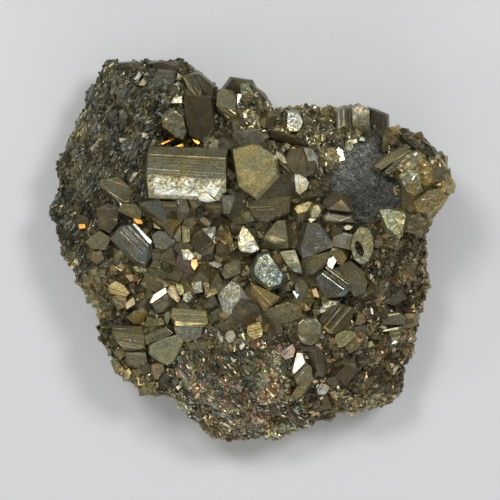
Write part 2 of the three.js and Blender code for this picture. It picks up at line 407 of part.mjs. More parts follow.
function matrixGeometry() {
  const rings = TOP_RINGS.map((share) => ringPoints(share, topHeight));
  rings.push(ringPoints(1, (x, y, angle) => rimHeight(angle)));
  for (const [share, heightShare] of FLANK_PROFILE) {
    rings.push(ringPoints(share, (x, y, angle) => rimHeight(angle) * heightShare));
  }
  const positions = [...rings.flat(), [0, 0, topHeight(0, 0)], [0, 0, 0]];
  const top = positions.length - 2;
  const bottom = positions.length - 1;
  const lastRing = (rings.length - 1) * SECTORS;
  const index = [];
  for (let i = 0; i < SECTORS; i += 1) {
    const next = (i + 1) % SECTORS;
    index.push(top, i, next);
    for (let ring = 0; ring < rings.length - 1; ring += 1) {
      const inner = ring * SECTORS;
      const outer = inner + SECTORS;
      index.push(inner + i, outer + i, outer + next);
      index.push(inner + i, outer + next, inner + next);
    }
    index.push(bottom, lastRing + next, lastRing + i);
  }
  const geometry = new THREE.BufferGeometry();
  geometry.setAttribute('position', new THREE.Float32BufferAttribute(positions.flat(), 3));
  geometry.setIndex(index);
  return geometry;
}

// ---------------------------------------------------------------- the crystals

function convexSolid(points) {
  const geometry = new ConvexGeometry(points);
  geometry.deleteAttribute('normal');
  return mergeVertices(geometry);
}

function middleOf(corners) {
  const middle = new THREE.Vector2();
  corners.forEach(([x, y]) => middle.add(new THREE.Vector2(x, y)));
  return middle.divideScalar(corners.length);
}

function rootedCrystal(corners, level) {
  const middle = middleOf(corners);
  const points = [];
  for (const [x, y, height] of corners) {
    const arm = new THREE.Vector2(x, y).sub(middle);
    const foot = middle.clone().add(arm.setLength(arm.length() + ROOT_SPREAD));
    points.push(new THREE.Vector3(x, y, level + height));
    points.push(new THREE.Vector3(foot.x, foot.y, level - ROOT_DEPTH));
  }
  return convexSolid(points);
}

function mainCrystals() {
  const onMatrix = MAIN_CRYSTALS.map(([, corners]) => {
    const middle = middleOf(corners);
    return rootedCrystal(corners, topHeight(middle.x, middle.y));
  });
  const onKnob = KNOB_CRYSTALS.map(([, corners]) => rootedCrystal(corners, KNOB_LEVEL));
  const onWall = WALL_CRYSTALS.map(([, corners]) => rootedCrystal(corners, WALL_LEVEL));
  return [...onMatrix, ...onKnob, ...onWall, hollowCrystal()];
}

function hollowLevel() {
  const middle = middleOf(HOLLOW_RIM);
  return topHeight(middle.x, middle.y);
}

function hollowCrystal() {
  return rootedCrystal(HOLLOW_RIM.map(([x, y]) => [x, y, HOLLOW_HEIGHT]), hollowLevel());
}

function pit() {
  const floor = hollowLevel() + HOLLOW_HEIGHT - PIT_DEPTH;
  const points = HOLLOW_PIT.flatMap(([x, y]) => [
    new THREE.Vector3(x, y, floor),
    new THREE.Vector3(x, y, floor + 2 * PIT_DEPTH),
  ]);
  return convexSolid(points);
}

// ---------------------------------------------------------------- the small crystals

// A repeatable stream of numbers from 0 to 1.
function randomStream(seed) {
  let state = seed;
  return () => {
    state = (state + 0x6d2b79f5) | 0;
    let mixed = Math.imul(state ^ (state >>> 15), 1 | state);
    mixed = (mixed + Math.imul(mixed ^ (mixed >>> 7), 61 | mixed)) ^ mixed;
    return ((mixed ^ (mixed >>> 14)) >>> 0) / 2 ** 32;
  };
}

const coveredSpots = [...MAIN_CRYSTALS, ...KNOB_CRYSTALS].map(([, corners]) => {
  const middle = middleOf(corners);
  const reach = corners.map(([x, y]) => middle.distanceTo(new THREE.Vector2(x, y)));
  return { middle, reach: Math.max(...reach) * FILLER_CLEARANCE };
});

function isCovered(x, y) {
  const place = new THREE.Vector2(x, y);
  return coveredSpots.some(({ middle, reach }) => middle.distanceTo(place) < reach);
}

// Corners of a cube of half-width 1, whole or with each corner cut to a small triangle.
function cubeCorners(isCut) {
  const corners = [];
  for (const x of [-1, 1]) {
    for (const y of [-1, 1]) {
      for (const z of [-1, 1]) {
        if (isCut) {
          const left = CORNER_CUT - 2;
          corners.push([x * left, y, z], [x, y * left, z], [x, y, z * left]);
        } else {
          corners.push([x, y, z]);
        }
      }
    }
  }
  return corners.map((corner) => new THREE.Vector3(...corner));
}

function randomCrystal(centre, random) {
  const half = THREE.MathUtils.lerp(FILLER_SIZE[0], FILLER_SIZE[1], random());
  const bearing = 2 * Math.PI * random();
  const leanAxis = new THREE.Vector3(Math.cos(bearing), Math.sin(bearing), 0);
  const lean = radians(FILLER_MAX_LEAN * random());
  const pose = new THREE.Quaternion().setFromAxisAngle(leanAxis, lean);
  const spin = 2 * Math.PI * random();
  const upright = new THREE.Vector3(0, 0, 1);
  pose.multiply(new THREE.Quaternion().setFromAxisAngle(upright, spin));
  const size = new THREE.Vector3(half, half, half);
  const place = new THREE.Matrix4().compose(centre, pose, size);
  const corners = cubeCorners(random() < FILLER_CUT_SHARE);
  return convexSolid(corners.map((corner) => corner.applyMatrix4(place)));
}

function topFillers(random) {
  const crystals = [];
  for (let i = 0; i < TOP_FILLERS; i += 1) {
    const angle = ((i * GOLDEN_ANGLE + Math.PI) % (2 * Math.PI)) - Math.PI;
    const radius = rimRadius(angle) * FILLER_REACH * Math.sqrt((i + 0.5) / TOP_FILLERS);
    const x = radius * Math.cos(angle);
    const y = radius * Math.sin(angle);
    if (!isCovered(x, y)) {
      const centre = new THREE.Vector3(x, y, topHeight(x, y) + FILLER_RISE);
      crystals.push(randomCrystal(centre, random));
    }
  }
  return crystals;
}

function flankFillers(random) {
  const crystals = [];
  for (let i = 0; i < FLANK_FILLERS; i += 1) {
    const angle = -Math.PI + (2 * Math.PI * (i + FLANK_JITTER * random())) / FLANK_FILLERS;
    const heightShare = THREE.MathUtils.lerp(...FLANK_HEIGHTS, random());
    const radius = rimRadius(angle) * THREE.MathUtils.lerp(...FLANK_RADII, heightShare);
    const z = rimHeight(angle) * heightShare;
    const centre = new THREE.Vector3(radius * Math.cos(angle), radius * Math.sin(angle), z);
    crystals.push(randomCrystal(centre, random));
  }
  return crystals;
}

// ---------------------------------------------------------------- joining

function toSolid(geometry) {
  const vertProperties = new Float32Array(geometry.attributes.position.array);
  const triVerts = new Uint32Array(geometry.index.array);
  return new wasm.Manifold(new wasm.Mesh({ numProp: 3, vertProperties, triVerts }));
}

function toGeometry(solid) {
  const { vertProperties, triVerts } = solid.getMesh();
  const geometry = new THREE.BufferGeometry();
  geometry.setAttribute('position', new THREE.BufferAttribute(vertProperties, 3));
  geometry.setIndex(new THREE.BufferAttribute(triVerts, 1));
  geometry.computeVertexNormals();
  return geometry;
}

// Crystals that lean together can close a pocket of air. Only the outer skin is kept.
function outerBody(solid) {
  return solid.decompose().reduce((a, b) => (a.volume() > b.volume() ? a : b));
}

function clusterGeometry() {
  const random = randomStream(FILLER_SEED);
  const crystals = [...mainCrystals(), ...topFillers(random), ...flankFillers(random)];
  const joined = crystals.reduce(
    (solid, crystal) => solid.add(toSolid(crystal)),
    toSolid(matrixGeometry()),
  );
  return toGeometry(outerBody(joined.subtract(toSolid(pit()))));
}

// ---------------------------------------------------------------- the specimen

const pyrite = new THREE.MeshStandardMaterial({
  color: 0x8c8460,
  roughness: 0.35,
  metalness: 1,
  flatShading: true,
});

const cluster = new THREE.Mesh(clusterGeometry(), pyrite);
cluster.name = 'pyrite_cluster';

const specimen = new THREE.Group();
specimen.add(cluster);

export default specimen;
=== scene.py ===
"""Looks of the pyrite specimen: crystals, drusy crust, matrix, finishes, light and camera.

Lengths below are in the part's own millimetres, measured from its origin on the resting face.
UNIT turns them into metres in the frame.
"""
import math
from collections import namedtuple
from functools import lru_cache
from itertools import combinations

import bmesh
import bpy
import numpy as np
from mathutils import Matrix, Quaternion, Vector


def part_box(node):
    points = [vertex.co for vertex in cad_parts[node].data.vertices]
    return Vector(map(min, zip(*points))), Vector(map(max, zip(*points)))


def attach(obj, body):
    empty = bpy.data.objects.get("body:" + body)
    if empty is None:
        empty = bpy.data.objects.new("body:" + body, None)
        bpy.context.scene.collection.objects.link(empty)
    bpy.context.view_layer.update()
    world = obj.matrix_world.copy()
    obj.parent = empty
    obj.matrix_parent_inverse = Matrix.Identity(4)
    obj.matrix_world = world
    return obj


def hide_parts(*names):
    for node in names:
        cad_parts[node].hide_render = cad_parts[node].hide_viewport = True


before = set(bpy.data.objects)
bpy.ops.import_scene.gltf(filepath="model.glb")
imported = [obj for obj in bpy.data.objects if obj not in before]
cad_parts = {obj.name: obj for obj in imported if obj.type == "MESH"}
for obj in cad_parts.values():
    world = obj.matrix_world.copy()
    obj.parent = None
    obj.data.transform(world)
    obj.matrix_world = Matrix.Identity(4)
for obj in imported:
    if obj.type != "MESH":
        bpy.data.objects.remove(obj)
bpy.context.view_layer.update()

NODE = "pyrite_cluster"
BODY = "root"
LOW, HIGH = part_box(NODE)
PART_WIDTH = 79.583                     # of the solid, in the part's millimetres
UNIT = (HIGH[0] - LOW[0]) / PART_WIDTH

# ---------------------------------------------------------------- the matrix's shape, as in the CAD

RIM_OUTLINE = [
    (34.6, 0), (34.8, 5.4), (38.4, 10.6), (39.2, 15.6), (35.4, 20.6), (30.4, 23.0),
    (26.4, 25.2), (22.6, 28.4), (18.2, 27.6), (13.4, 27.6), (8.6, 28.6), (4.6, 29.2),
    (1.2, 32.2), (-2.4, 33.8), (-6.6, 32.4), (-10.4, 34.8), (-15.4, 38.0), (-21.6, 38.6),
    (-28.2, 38.2), (-30.8, 32.0), (-34.6, 24.6), (-38.2, 19.6), (-39.2, 13.4), (-39.8, 8.0),
    (-38.0, 2.0), (-35.6, -2.6), (-32.0, -8.0), (-30.4, -14.0), (-28.2, -19.6),
    (-26.4, -25.0), (-21.0, -27.6), (-15.4, -29.8), (-11.0, -33.4), (-7.6, -37.0),
    (-3.6, -38.4), (1.6, -37.4), (6.8, -36.8), (11.6, -34.4), (17.4, -32.4),
    (25.6, -31.4), (29.4, -28.4), (31.2, -22.6), (33.6, -15.6), (35.2, -8.0),
]
RIM_HEIGHT = 13
RIM_SWELL = 2.5
RIM_TURN = 0.6                          # where round the rim the swell begins, in radians
# (share of the rim's radius, share of its height)
FLANK_PROFILE = [(1.0, 1.0), (0.985, 0.72), (0.94, 0.42), (0.88, 0.16), (0.83, 0.0)]
PLATEAU_HEIGHT = 20
# (x, y, spread in x, spread in y, rise)
HILLS = [
    (-10, 13, 11, 6, 3.0),
    (3, 14, 8, 7, 3.6),
    (-22, 30, 9, 8, 9.0),
    (-9, 32, 6, 4, 4.5),
    (30, 13, 8, 9, 8.0),
    (21, 25, 9, 4, 5.0),
    (2, -8, 20, 12, 2.2),
    (-3, -29, 9, 8, 5.5),
    (19, -26, 9, 7, 2.0),
    (-33, 13, 6, 13, -3.0),
    (-15, 22, 5, 2.5, -6.0),
    (-26, -10, 8, 10, -1.5),
]
SHOULDER_POWER = 5                      # the higher, the later the top falls off to the rim

SECTORS = 380
TOP_RINGS = 96
FLANK_RINGS = 34
BASE_RINGS = 26
ROCK_WAVES = [(6.0, 1.2), (2.6, 1.0), (1.1, 0.5), (0.42, 0.14)]    # (wavelength, height)
BASE_WAVES = [(5.0, 0.7), (1.6, 0.35), (0.6, 0.15)]
BASE_HOLLOW = 0.5
BASE_DENT = 0.8                         # share of the base's waves that shows as dents
ROCK_SEED = 40
BASE_SEED = 60
ROCK_LOOK = (0.22, 0.2, 0.15, 0.5)      # base colour and roughness, as each crystal's faces carry

# ---------------------------------------------------------------- the main crystals

Gem = namedtuple("Gem", "name finish corners textures piece level", defaults=(None, None))
Texture = namedtuple("Texture", "kind aim lines count cell depth")
# pieces whose crystals stand free of the hills, with the level their heights are from
LEVELS = {"east_knob": 27.5, "knob_wall": 16}


def direction(tilt, bearing):
    """A unit vector so many degrees off the vertical, leaning towards a bearing."""
    t, b = math.radians(tilt), math.radians(bearing)
    return np.array((math.sin(t) * math.cos(b), math.sin(t) * math.sin(b), math.cos(t)))


def facet(outline, height, tilt, bearing):
    """Corners of a flat face: its outline seen from above, its middle's height and its slope."""
    outline = np.array(outline)
    normal = direction(tilt, bearing)
    fall = (outline - outline.mean(axis=0)) @ normal[:2] / normal[2]
    return [(x, y, height - drop) for (x, y), drop in zip(outline, fall)]


def ribs(lines, count, depth, aim=None):
    """Growth ribs; their lines follow the bearing `lines`. The aim is a face's (tilt, bearing)."""
    return Texture("ribs", aim, lines, count, None, depth)


def mottle(cell, depth, aim=None):
    """An etched, uneven face, made of small facets a cell wide."""
    return Texture("mottle", aim, None, None, cell, depth)


def solid(name, finish, corners, *textures):
    return Gem(name, finish, corners, textures)


def flat(name, finish, height, tilt, bearing, outline, *textures, more=()):
    """A crystal that shows one flat face, which its textures without an aim go on."""
    aimed = [t if t.aim else t._replace(aim=(tilt, bearing)) for t in textures]
    return Gem(name, finish, facet(outline, height, tilt, bearing) + list(more), aimed)


# solid: name, finish, corners as (x, y, height above the matrix), textures of its faces
# flat: name, finish, height, tilt, bearing and outline (x, y) of its free face, textures

# the long bar and what it lies on
BAR_CRYSTAL = [
    solid("bar", "bar", [
        (-20.2, 14.9, 5.4), (-4.7, 13.9, 5.4), (-19.9, 18.7, 5.7), (-4.7, 17.9, 5.7),
        (-19.4, 20.3, 4.1), (-4.5, 19.8, 4.1), (-19.8, 10.2, 1.9), (-6.2, 9.7, 1.9), (-4.6, 11.4, 3.3)],
        ribs(-4, 7, 0.16, (4, 270)), mottle(0.5, 0.09, (38, 268))),
    solid("bar_shine", "white", [
        (-19.0, 14.35, 4.95), (-5.6, 13.45, 4.9), (-18.9, 10.9, 2.5), (-7.0, 10.3, 2.4),
        (-5.7, 12.0, 3.75)], mottle(0.34, 0.045, (38, 268))),
    flat("bar_chip", "white", 2.4, 37, 268, [
        (-10.3, 10.5), (-9.6, 11.2), (-8.2, 11.2), (-6.6, 9.7), (-8.4, 9.3), (-10.1, 9.8)]),
    solid("bar_root", "brown", [
        (-17.4, 9.6, 1.9), (-5.4, 9.2, 1.9), (-5.8, 6.3, 0.3), (-16.6, 5.9, 0.2)],
        ribs(-2, 5, 0.12, (28, 268))),
    flat("bar_foot", "steel", 2.6, 16, 250, [
        (-21.3, 9.3), (-18.0, 10.2), (-16.8, 8.7), (-16.5, 5.4), (-18.0, 6.0), (-21.0, 8.7)],
        more=[(-22.0, 8.2, 0.8), (-17.0, 4.5, 0.6), (-22.0, 9.6, 1.4)]),
    flat("bar_heel", "olive", 1.5, 15, 128, [
        (-19.3, 5.7), (-17.8, 5.5), (-16.4, 4.6), (-17.6, 4.1), (-19.1, 4.4)], mottle(0.4, 0.08)),
    solid("bar_stop", "grey", [
        (-5.6, 10.6, 2.8), (-3.1, 10.8, 3.0), (-2.3, 8.2, 2.0), (-2.8, 7.0, 1.2), (-5.2, 7.2, 1.2)]),
]

# the gold-olive hexagon and its neighbours
HEXAGON_CRYSTAL = [
    solid("olive_hexagon", "hexagon", [
        (-3.4, 19.6, 5.0), (0.4, 20.6, 5.1), (2.2, 20.1, 5.1), (4.9, 18.4, 5.0), (5.2, 14.9, 4.8),
        (1.0, 10.3, 4.4), (-2.2, 12.5, 4.4), (-2.9, 16.0, 4.7), (5.8, 14.3, 4.0), (1.5, 9.7, 3.6)]),
    solid("hexagon_skirt", "brown", [
        (5.6, 14.6, 3.8), (1.4, 10.0, 3.4), (7.6, 9.6, 1.2), (8.8, 13.2, 1.3), (7.6, 15.2, 1.9)],
        ribs(0, 4, 0.08, (30, 318))),
    solid("pale_lip", "brown", [
        (-0.5, 8.7, 2.8), (2.0, 10.2, 3.2), (8.0, 10.6, 2.6), (7.8, 7.6, 2.1), (6.1, 6.9, 2.2),
        (2.4, 5.9, 2.1), (0.8, 6.6, 2.3), (6.3, 6.4, 1.5), (2.5, 5.1, 1.2), (0.8, 5.9, 1.2)],
        ribs(2, 6, 0.12, (10, 268)), mottle(0.4, 0.1, (40, 268))),
    solid("bright_tip", "brown", [
        (8.0, 20.0, 1.2), (10.3, 20.3, 1.6), (6.6, 17.4, 2.3), (8.6, 14.9, 4.0), (11.0, 14.4, 4.3),
        (12.5, 15.4, 3.5), (13.4, 14.8, 2.8), (13.5, 18.5, 1.8), (12.3, 20.1, 1.1)]),
    flat("white_tip", "pale", 3.4, 37, 268, [
        (8.6, 14.8), (9.7, 14.8), (11.0, 14.1), (11.6, 13.2), (11.2, 12.0), (9.8, 10.8), (9.0, 11.5)]),
    solid("tip_side", "brown", [
        (5.4, 17.6, 2.2), (6.8, 17.0, 2.4), (8.5, 14.7, 3.3), (9.0, 11.6, 1.2), (6.4, 12.4, 0.8)]),
    flat("tip_grey", "steel", 2.7, 16, 30, [
        (10.5, 20.2), (12.3, 20.0), (13.4, 18.4), (13.5, 15.2), (13.0, 14.3), (12.3, 15.4)],
        ribs(-70, 4, 0.06)),
    flat("tip_collar", "grey", 2.7, 12, 60, [
        (4.9, 18.4), (5.2, 19.6), (6.7, 18.6), (7.4, 16.9), (6.4, 17.2)]),
    # painted glint: a small orange facet turned to a lamp
    flat("orange_glint", "orange", 1.9, 16, 38, [
        (7.9, 19.9), (8.6, 20.4), (9.4, 20.1), (9.4, 19.2), (8.5, 18.9)]),
]

# the middle of the top
MIDDLE_CRYSTALS = [
    flat("teardrop", "pale", 3.5, 15, 128, [
        (-1.4, 4.8), (-0.6, 4.2), (0.6, 2.7), (1.8, 0.1), (0.3, -0.6), (-1.8, -0.2), (-2.4, 1.3),
        (-2.2, 2.9)], mottle(0.55, 0.1)),
    solid("round_brown", "umber", [
        (-9.6, 4.2, 3.2), (-6.9, 1.1, 3.0), (-7.6, -1.5, 0.9), (-10.8, -1.5, 0.7), (-12.2, 1.6, 1.2),
        (-11.0, 3.6, 2.2)]),
    flat("round_facet", "grey", 2.6, 17, 30, [
        (-9.6, 4.3), (-6.8, 4.7), (-6.8, 1.1)], mottle(0.42, 0.14)),
    solid("narrow_brown", "gold", [
        (-5.3, 4.9, 1.6), (-4.3, 4.8, 2.1), (-2.9, 0.2, 1.9), (-3.6, -0.4, 1.4), (-5.2, 1.8, 1.1)],
        mottle(0.4, 0.18, (15, 20)), mottle(0.4, 0.18, (30, 200))),
    flat("narrow_side", "brown", 1.5, 24, 240, [
        (-6.7, 1.2), (-5.4, 1.6), (-3.7, -0.5), (-4.8, -1.6), (-6.8, -0.6)]),
    solid("olive_wedge", "olive", [
        (3.0, 3.1, 3.2), (5.6, 2.6, 3.5), (7.5, 2.0, 3.3), (6.9, 5.9, 3.7), (5.3, 5.8, 3.7),
        (7.7, 0.3, 1.3), (4.6, 0.1, 1.1), (2.2, 0.5, 1.1)]),
    solid("teal_block", "teal", [
        (0.9, -3.4, 4.4), (1.9, -1.4, 4.0), (3.4, -1.2, 3.7), (6.3, -4.9, 3.8), (5.9, -6.6, 4.1),
        (3.8, -7.3, 4.6), (1.0, -4.9, 4.7), (0.1, -3.6, 3.4), (1.5, -0.7, 3.4), (3.6, -0.6, 3.5),
        (7.0, -5.0, 3.3), (6.5, -7.1, 3.0), (3.7, -8.1, 2.6), (0.3, -5.6, 2.9)],
        mottle(0.36, 0.11, (11, 38)), mottle(0.5, 0.1, (45, 220))),
    solid("gold_step", "gold", [
        (0.2, -6.4, 2.6), (5.8, -9.2, 2.4), (5.6, -10.2, 1.8), (2.8, -12.2, 1.2), (0.0, -8.6, 1.8)],
        ribs(-48, 7, 0.2, (14, 230))),
    flat("sparkling_facet", "white", 2.7, 29, 200, [
        (-3.6, -6.1), (-2.0, -7.0), (-1.9, -9.3), (-4.7, -12.8), (-5.6, -11.6), (-6.3, -9.0),
        (-5.2, -7.5)], mottle(0.36, 0.1), more=[(0.0, -9.9, 2.4), (-2.4, -13.6, 1.0)]),
    flat("dark_block", "brown", 1.9, 30, 300, [
        (-3.4, -12.4), (-1.6, -9.7), (1.6, -11.0), (2.6, -13.2), (-0.6, -15.6), (-3.0, -15.2)],
        ribs(30, 4, 0.08)),
    flat("small_olive", "olive", 2.6, 6, 250, [
        (-2.9, -1.8), (-1.8, -2.2), (-1.9, -4.6), (-4.8, -5.8), (-5.6, -4.6), (-5.0, -2.9)]),
    flat("small_pale", "grey", 1.9, 14, 100, [
        (-8.3, -2.4), (-7.0, -2.2), (-5.4, -2.9), (-6.4, -3.6), (-7.8, -3.1)], mottle(0.4, 0.08)),
    solid("ember", "mauve", [
        (-13.7, 0.2, 2.3), (-12.2, 0.2, 2.4), (-10.6, -1.2, 2.3), (-10.8, -5.4, 0.6),
        (-13.0, -6.4, 0.3), (-15.2, -4.2, 0.4), (-14.4, -1.4, 1.6)]),
    flat("ember_cap", "pale", 2.6, 13, 100, [
        (-13.6, 0.1), (-12.2, 0.2), (-10.7, -1.2), (-11.6, -2.0), (-13.2, -1.8)], mottle(0.4, 0.08)),
    # painted glint: a copper facet turned to a lamp
    flat("ember_glow", "copper", 2.3, 17, 38, [
        (-11.6, -1.8), (-10.5, -1.8), (-10.2, -3.0), (-11.0, -4.1), (-11.7, -3.1)]),
    solid("mid_wedge", "green", [
        (5.8, -0.3, 2.0), (8.9, 0.1, 2.0), (10.0, -3.0, 3.0), (7.4, -3.1, 3.0), (10.4, -4.9, 1.9),
        (8.6, -4.2, 2.4)]),
    flat("white_grain", "grey", 2.3, 24, 330, [
        (9.0, -6.6), (10.4, -5.7), (11.5, -7.2), (11.4, -9.8), (9.9, -10.0), (9.0, -8.4)]),
    flat("white_grain_tip", "white", 2.4, 16, 38, [
        (8.3, -8.0), (9.2, -8.4), (10.0, -8.3), (9.2, -9.7)]),
    flat("yellow_chip", "tan", 1.9, 15, 128, [
        (12.1, -7.9), (13.1, -7.4), (13.8, -9.5), (12.6, -9.2)]),
    flat("mottled_low", "olive", 2.0, 13, 300, [
        (4.9, -11.0), (7.4, -10.3), (10.0, -11.1), (10.4, -12.8), (8.4, -14.0), (5.6, -14.6),
        (4.7, -12.8)], mottle(0.6, 0.14)),
    flat("dark_wall", "brown", 1.2, 32, 200, [
        (2.4, -12.0), (4.6, -11.2), (5.6, -14.6), (6.6, -16.2), (3.8, -17.0), (2.8, -14.8)]),
]

# right of the middle
EAST_CRYSTALS = [
    flat("rounded_prism", "olive", 4.2, 8, 60, [
        (11.9, 7.2), (12.5, 8.8), (13.5, 8.9), (14.0, 7.8), (13.4, 6.5), (12.0, 6.3)],
        more=[(11.5, 6.8, 3.2), (12.4, 9.2, 3.4), (13.8, 9.2, 3.4), (14.3, 7.8, 3.4),
        (13.5, 6.1, 3.5)]),
    flat("prism_edge", "white", 3.7, 37, 268, [
        (11.4, 6.1), (13.3, 6.5), (13.0, 6.0), (11.9, 5.3)]),
    solid("grey_prism", "steel", [
        (11.4, 5.4, 3.3), (13.4, 5.3, 4.3), (12.4, -0.9, 3.9), (10.4, -1.7, 2.6), (10.0, 0.5, 2.6),
        (16.6, 0.7, 3.2), (8.8, 0.9, 1.2), (10.5, 5.3, 2.2), (15.2, 3.4, 3.5)],
        mottle(0.55, 0.1, (14, 335)), ribs(62, 4, 0.12, (45, 190))),
    solid("brown_pyramid", "brown", [
        (14.2, 9.6, 0.8), (17.6, 12.5, 1.4), (18.0, 10.0, 2.8), (20.4, 7.4, 0.9), (15.2, 8.0, 1.5),
        (20.0, 10.2, 1.3)], ribs(-62, 5, 0.16, (35, 20))),
    solid("pale_strip", "pale", [
        (13.8, 6.9, 1.2), (15.5, 7.3, 1.6), (20.0, 6.6, 1.3), (20.6, 5.4, 0.8), (17.5, 5.7, 2.1),
        (15.0, 5.9, 2.0), (14.5, 5.1, 0.9)], ribs(-6, 4, 0.12, (15, 90))),
    flat("strip_glint", "pale", 1.9, 16, 38, [
        (18.4, 4.5), (19.2, 5.0), (20.4, 4.7), (19.8, 4.0), (18.9, 3.9)]),
    solid("hopper_side", "grey", [
        (16.3, 2.6, 2.3), (18.5, 3.5, 2.9), (18.2, 0.4, 2.9), (16.2, 0.7, 2.2), (20.3, 3.1, 2.3),
        (20.2, 0.0, 2.1)]),
    solid("white_stripes", "steel", [
        (13.0, -5.4, 2.6), (14.1, -4.4, 3.6), (17.3, -3.5, 4.5), (19.7, -7.7, 4.2), (18.6, -9.1, 3.1),
        (14.9, -9.6, 1.8), (13.1, -6.9, 1.9)], ribs(-56, 9, 0.3, (18, 213))),
    flat("stripes_face", "olive", 3.0, 24, 345, [
        (17.4, -3.5), (19.8, -2.2), (21.0, -3.0), (23.2, -6.2), (22.8, -8.6), (20.6, -9.2),
        (19.7, -7.8)]),
    flat("stripes_foot", "brown", 1.2, 30, 290, [
        (18.6, -8.8), (20.8, -8.6), (22.9, -8.4), (22.0, -10.2), (19.0, -10.6)]),
    flat("glint", "white", 4.0, 16, 38, [
        (15.0, -3.7), (16.0, -4.1), (17.1, -2.1), (16.5, -1.2), (15.5, -1.7)], ribs(62, 3, 0.16)),
    flat("glint_back", "gold", 2.4, 16, 320, [
        (15.4, -0.2), (18.2, 0.0), (19.2, -1.6), (18.2, -3.2), (17.3, -2.8), (16.8, -1.0)]),
    flat("dark_wedge", "olive", 2.3, 26, 230, [
        (10.2, -2.0), (12.4, -1.0), (15.5, -0.3), (16.0, -1.2), (14.4, -3.6), (13.0, -4.5),
        (10.4, -3.7)], more=[(10.4, -5.8, 0.2), (13.0, -5.2, 0.6)]),
    flat("pale_ridge", "pale", 2.2, 20, 130, [
        (13.3, -12.4), (14.4, -10.8), (15.6, -10.0), (17.8, -10.1), (17.2, -10.9), (15.2, -11.3),
        (14.2, -12.5)], mottle(0.4, 0.12)),
    flat("brown_ribs", "brown", 2.6, 22, 320, [
        (13.7, -13.8), (15.4, -11.5), (17.6, -10.6), (20.5, -11.4), (20.3, -13.0), (18.8, -15.2),
        (16.6, -16.6)], ribs(50, 9, 0.26), more=[(14.3, -16.6, 1.4), (14.0, -15.0, 1.8)]),
    flat("small_ribs", "moss_pale", 3.0, 12, 250, [
        (17.0, -16.7), (18.6, -15.9), (20.2, -16.2), (20.4, -17.2), (18.6, -19.0), (17.6, -19.2),
        (16.8, -17.8)], ribs(38, 7, 0.2)),
    flat("small_ribs_side", "gold", 2.0, 24, 300, [
        (20.3, -16.7), (21.3, -17.6), (21.8, -19.0), (20.2, -20.4), (18.9, -19.4)], ribs(-60, 4, 0.16)),
    flat("olive_round", "olive", 3.2, 5, 275, [
        (9.5, -14.6), (10.6, -13.7), (12.9, -13.6), (14.0, -14.8), (14.1, -16.4), (9.6, -16.6)],
        more=[(8.8, -15.5, 2.3), (10.2, -13.2, 2.8), (13.2, -13.2, 2.8), (14.5, -15.5, 2.4),
        (13.2, -18.3, 2.3), (12.2, -18.9, 2.0), (10.4, -18.6, 2.0), (9.0, -17.2, 2.2)]),
    flat("amber", "tan", 2.3, 12, 255, [
        (21.4, -12.3), (22.4, -12.6), (22.9, -14.2), (21.9, -14.9), (20.8, -14.9)]),
    flat("amber_foot", "mauve", 1.9, 28, 300, [
        (20.4, -15.4), (22.8, -14.8), (23.0, -16.5), (21.5, -17.1)]),
    flat("amber_glint", "tan", 1.8, 12, 260, [
        (23.1, -14.9), (24.2, -14.6), (24.9, -15.8), (24.0, -16.9), (23.3, -16.0)]),
    flat("east_spark", "white", 1.8, 16, 38, [
        (23.8, -11.4), (24.4, -11.6), (24.6, -12.8), (24.1, -12.8)]),
    flat("east_green", "moss", 1.5, 13, 38, [
        (23.0, -18.6), (24.2, -18.0), (24.9, -19.0), (23.6, -19.7)]),
    flat("east_dome", "olive", 1.9, 13, 260, [
        (26.1, -13.7), (27.4, -12.6), (29.6, -12.4), (31.1, -13.6), (30.8, -14.9), (26.0, -15.1)],
        ribs(10, 5, 0.2)),
    flat("edge_spark", "moss_pale", 1.2, 15, 128, [
        (31.4, -14.6), (31.8, -13.4), (33.6, -13.0), (33.4, -14.0)]),
    flat("east_ribs", "olive", 2.2, 12, 255, [
        (26.0, -17.2), (26.6, -15.9), (30.2, -15.3), (30.0, -17.4), (29.3, -18.9), (27.2, -19.0)],
        ribs(11, 6, 0.3)),
    flat("east_ribs_edge", "pale", 2.5, 14, 50, [
        (26.3, -16.4), (26.6, -15.9), (30.2, -15.2), (30.3, -15.7)]),
    flat("east_ribs_glint", "white", 2.2, 15, 128, [
        (27.0, -18.0), (27.8, -17.4), (29.6, -17.6), (29.4, -18.6), (27.9, -18.9)], mottle(0.5, 0.12)),
    flat("east_white_glint", "white", 1.9, 15, 128, [
        (24.6, -20.3), (25.0, -19.8), (26.6, -20.2), (26.6, -20.6), (24.8, -20.7)]),
]

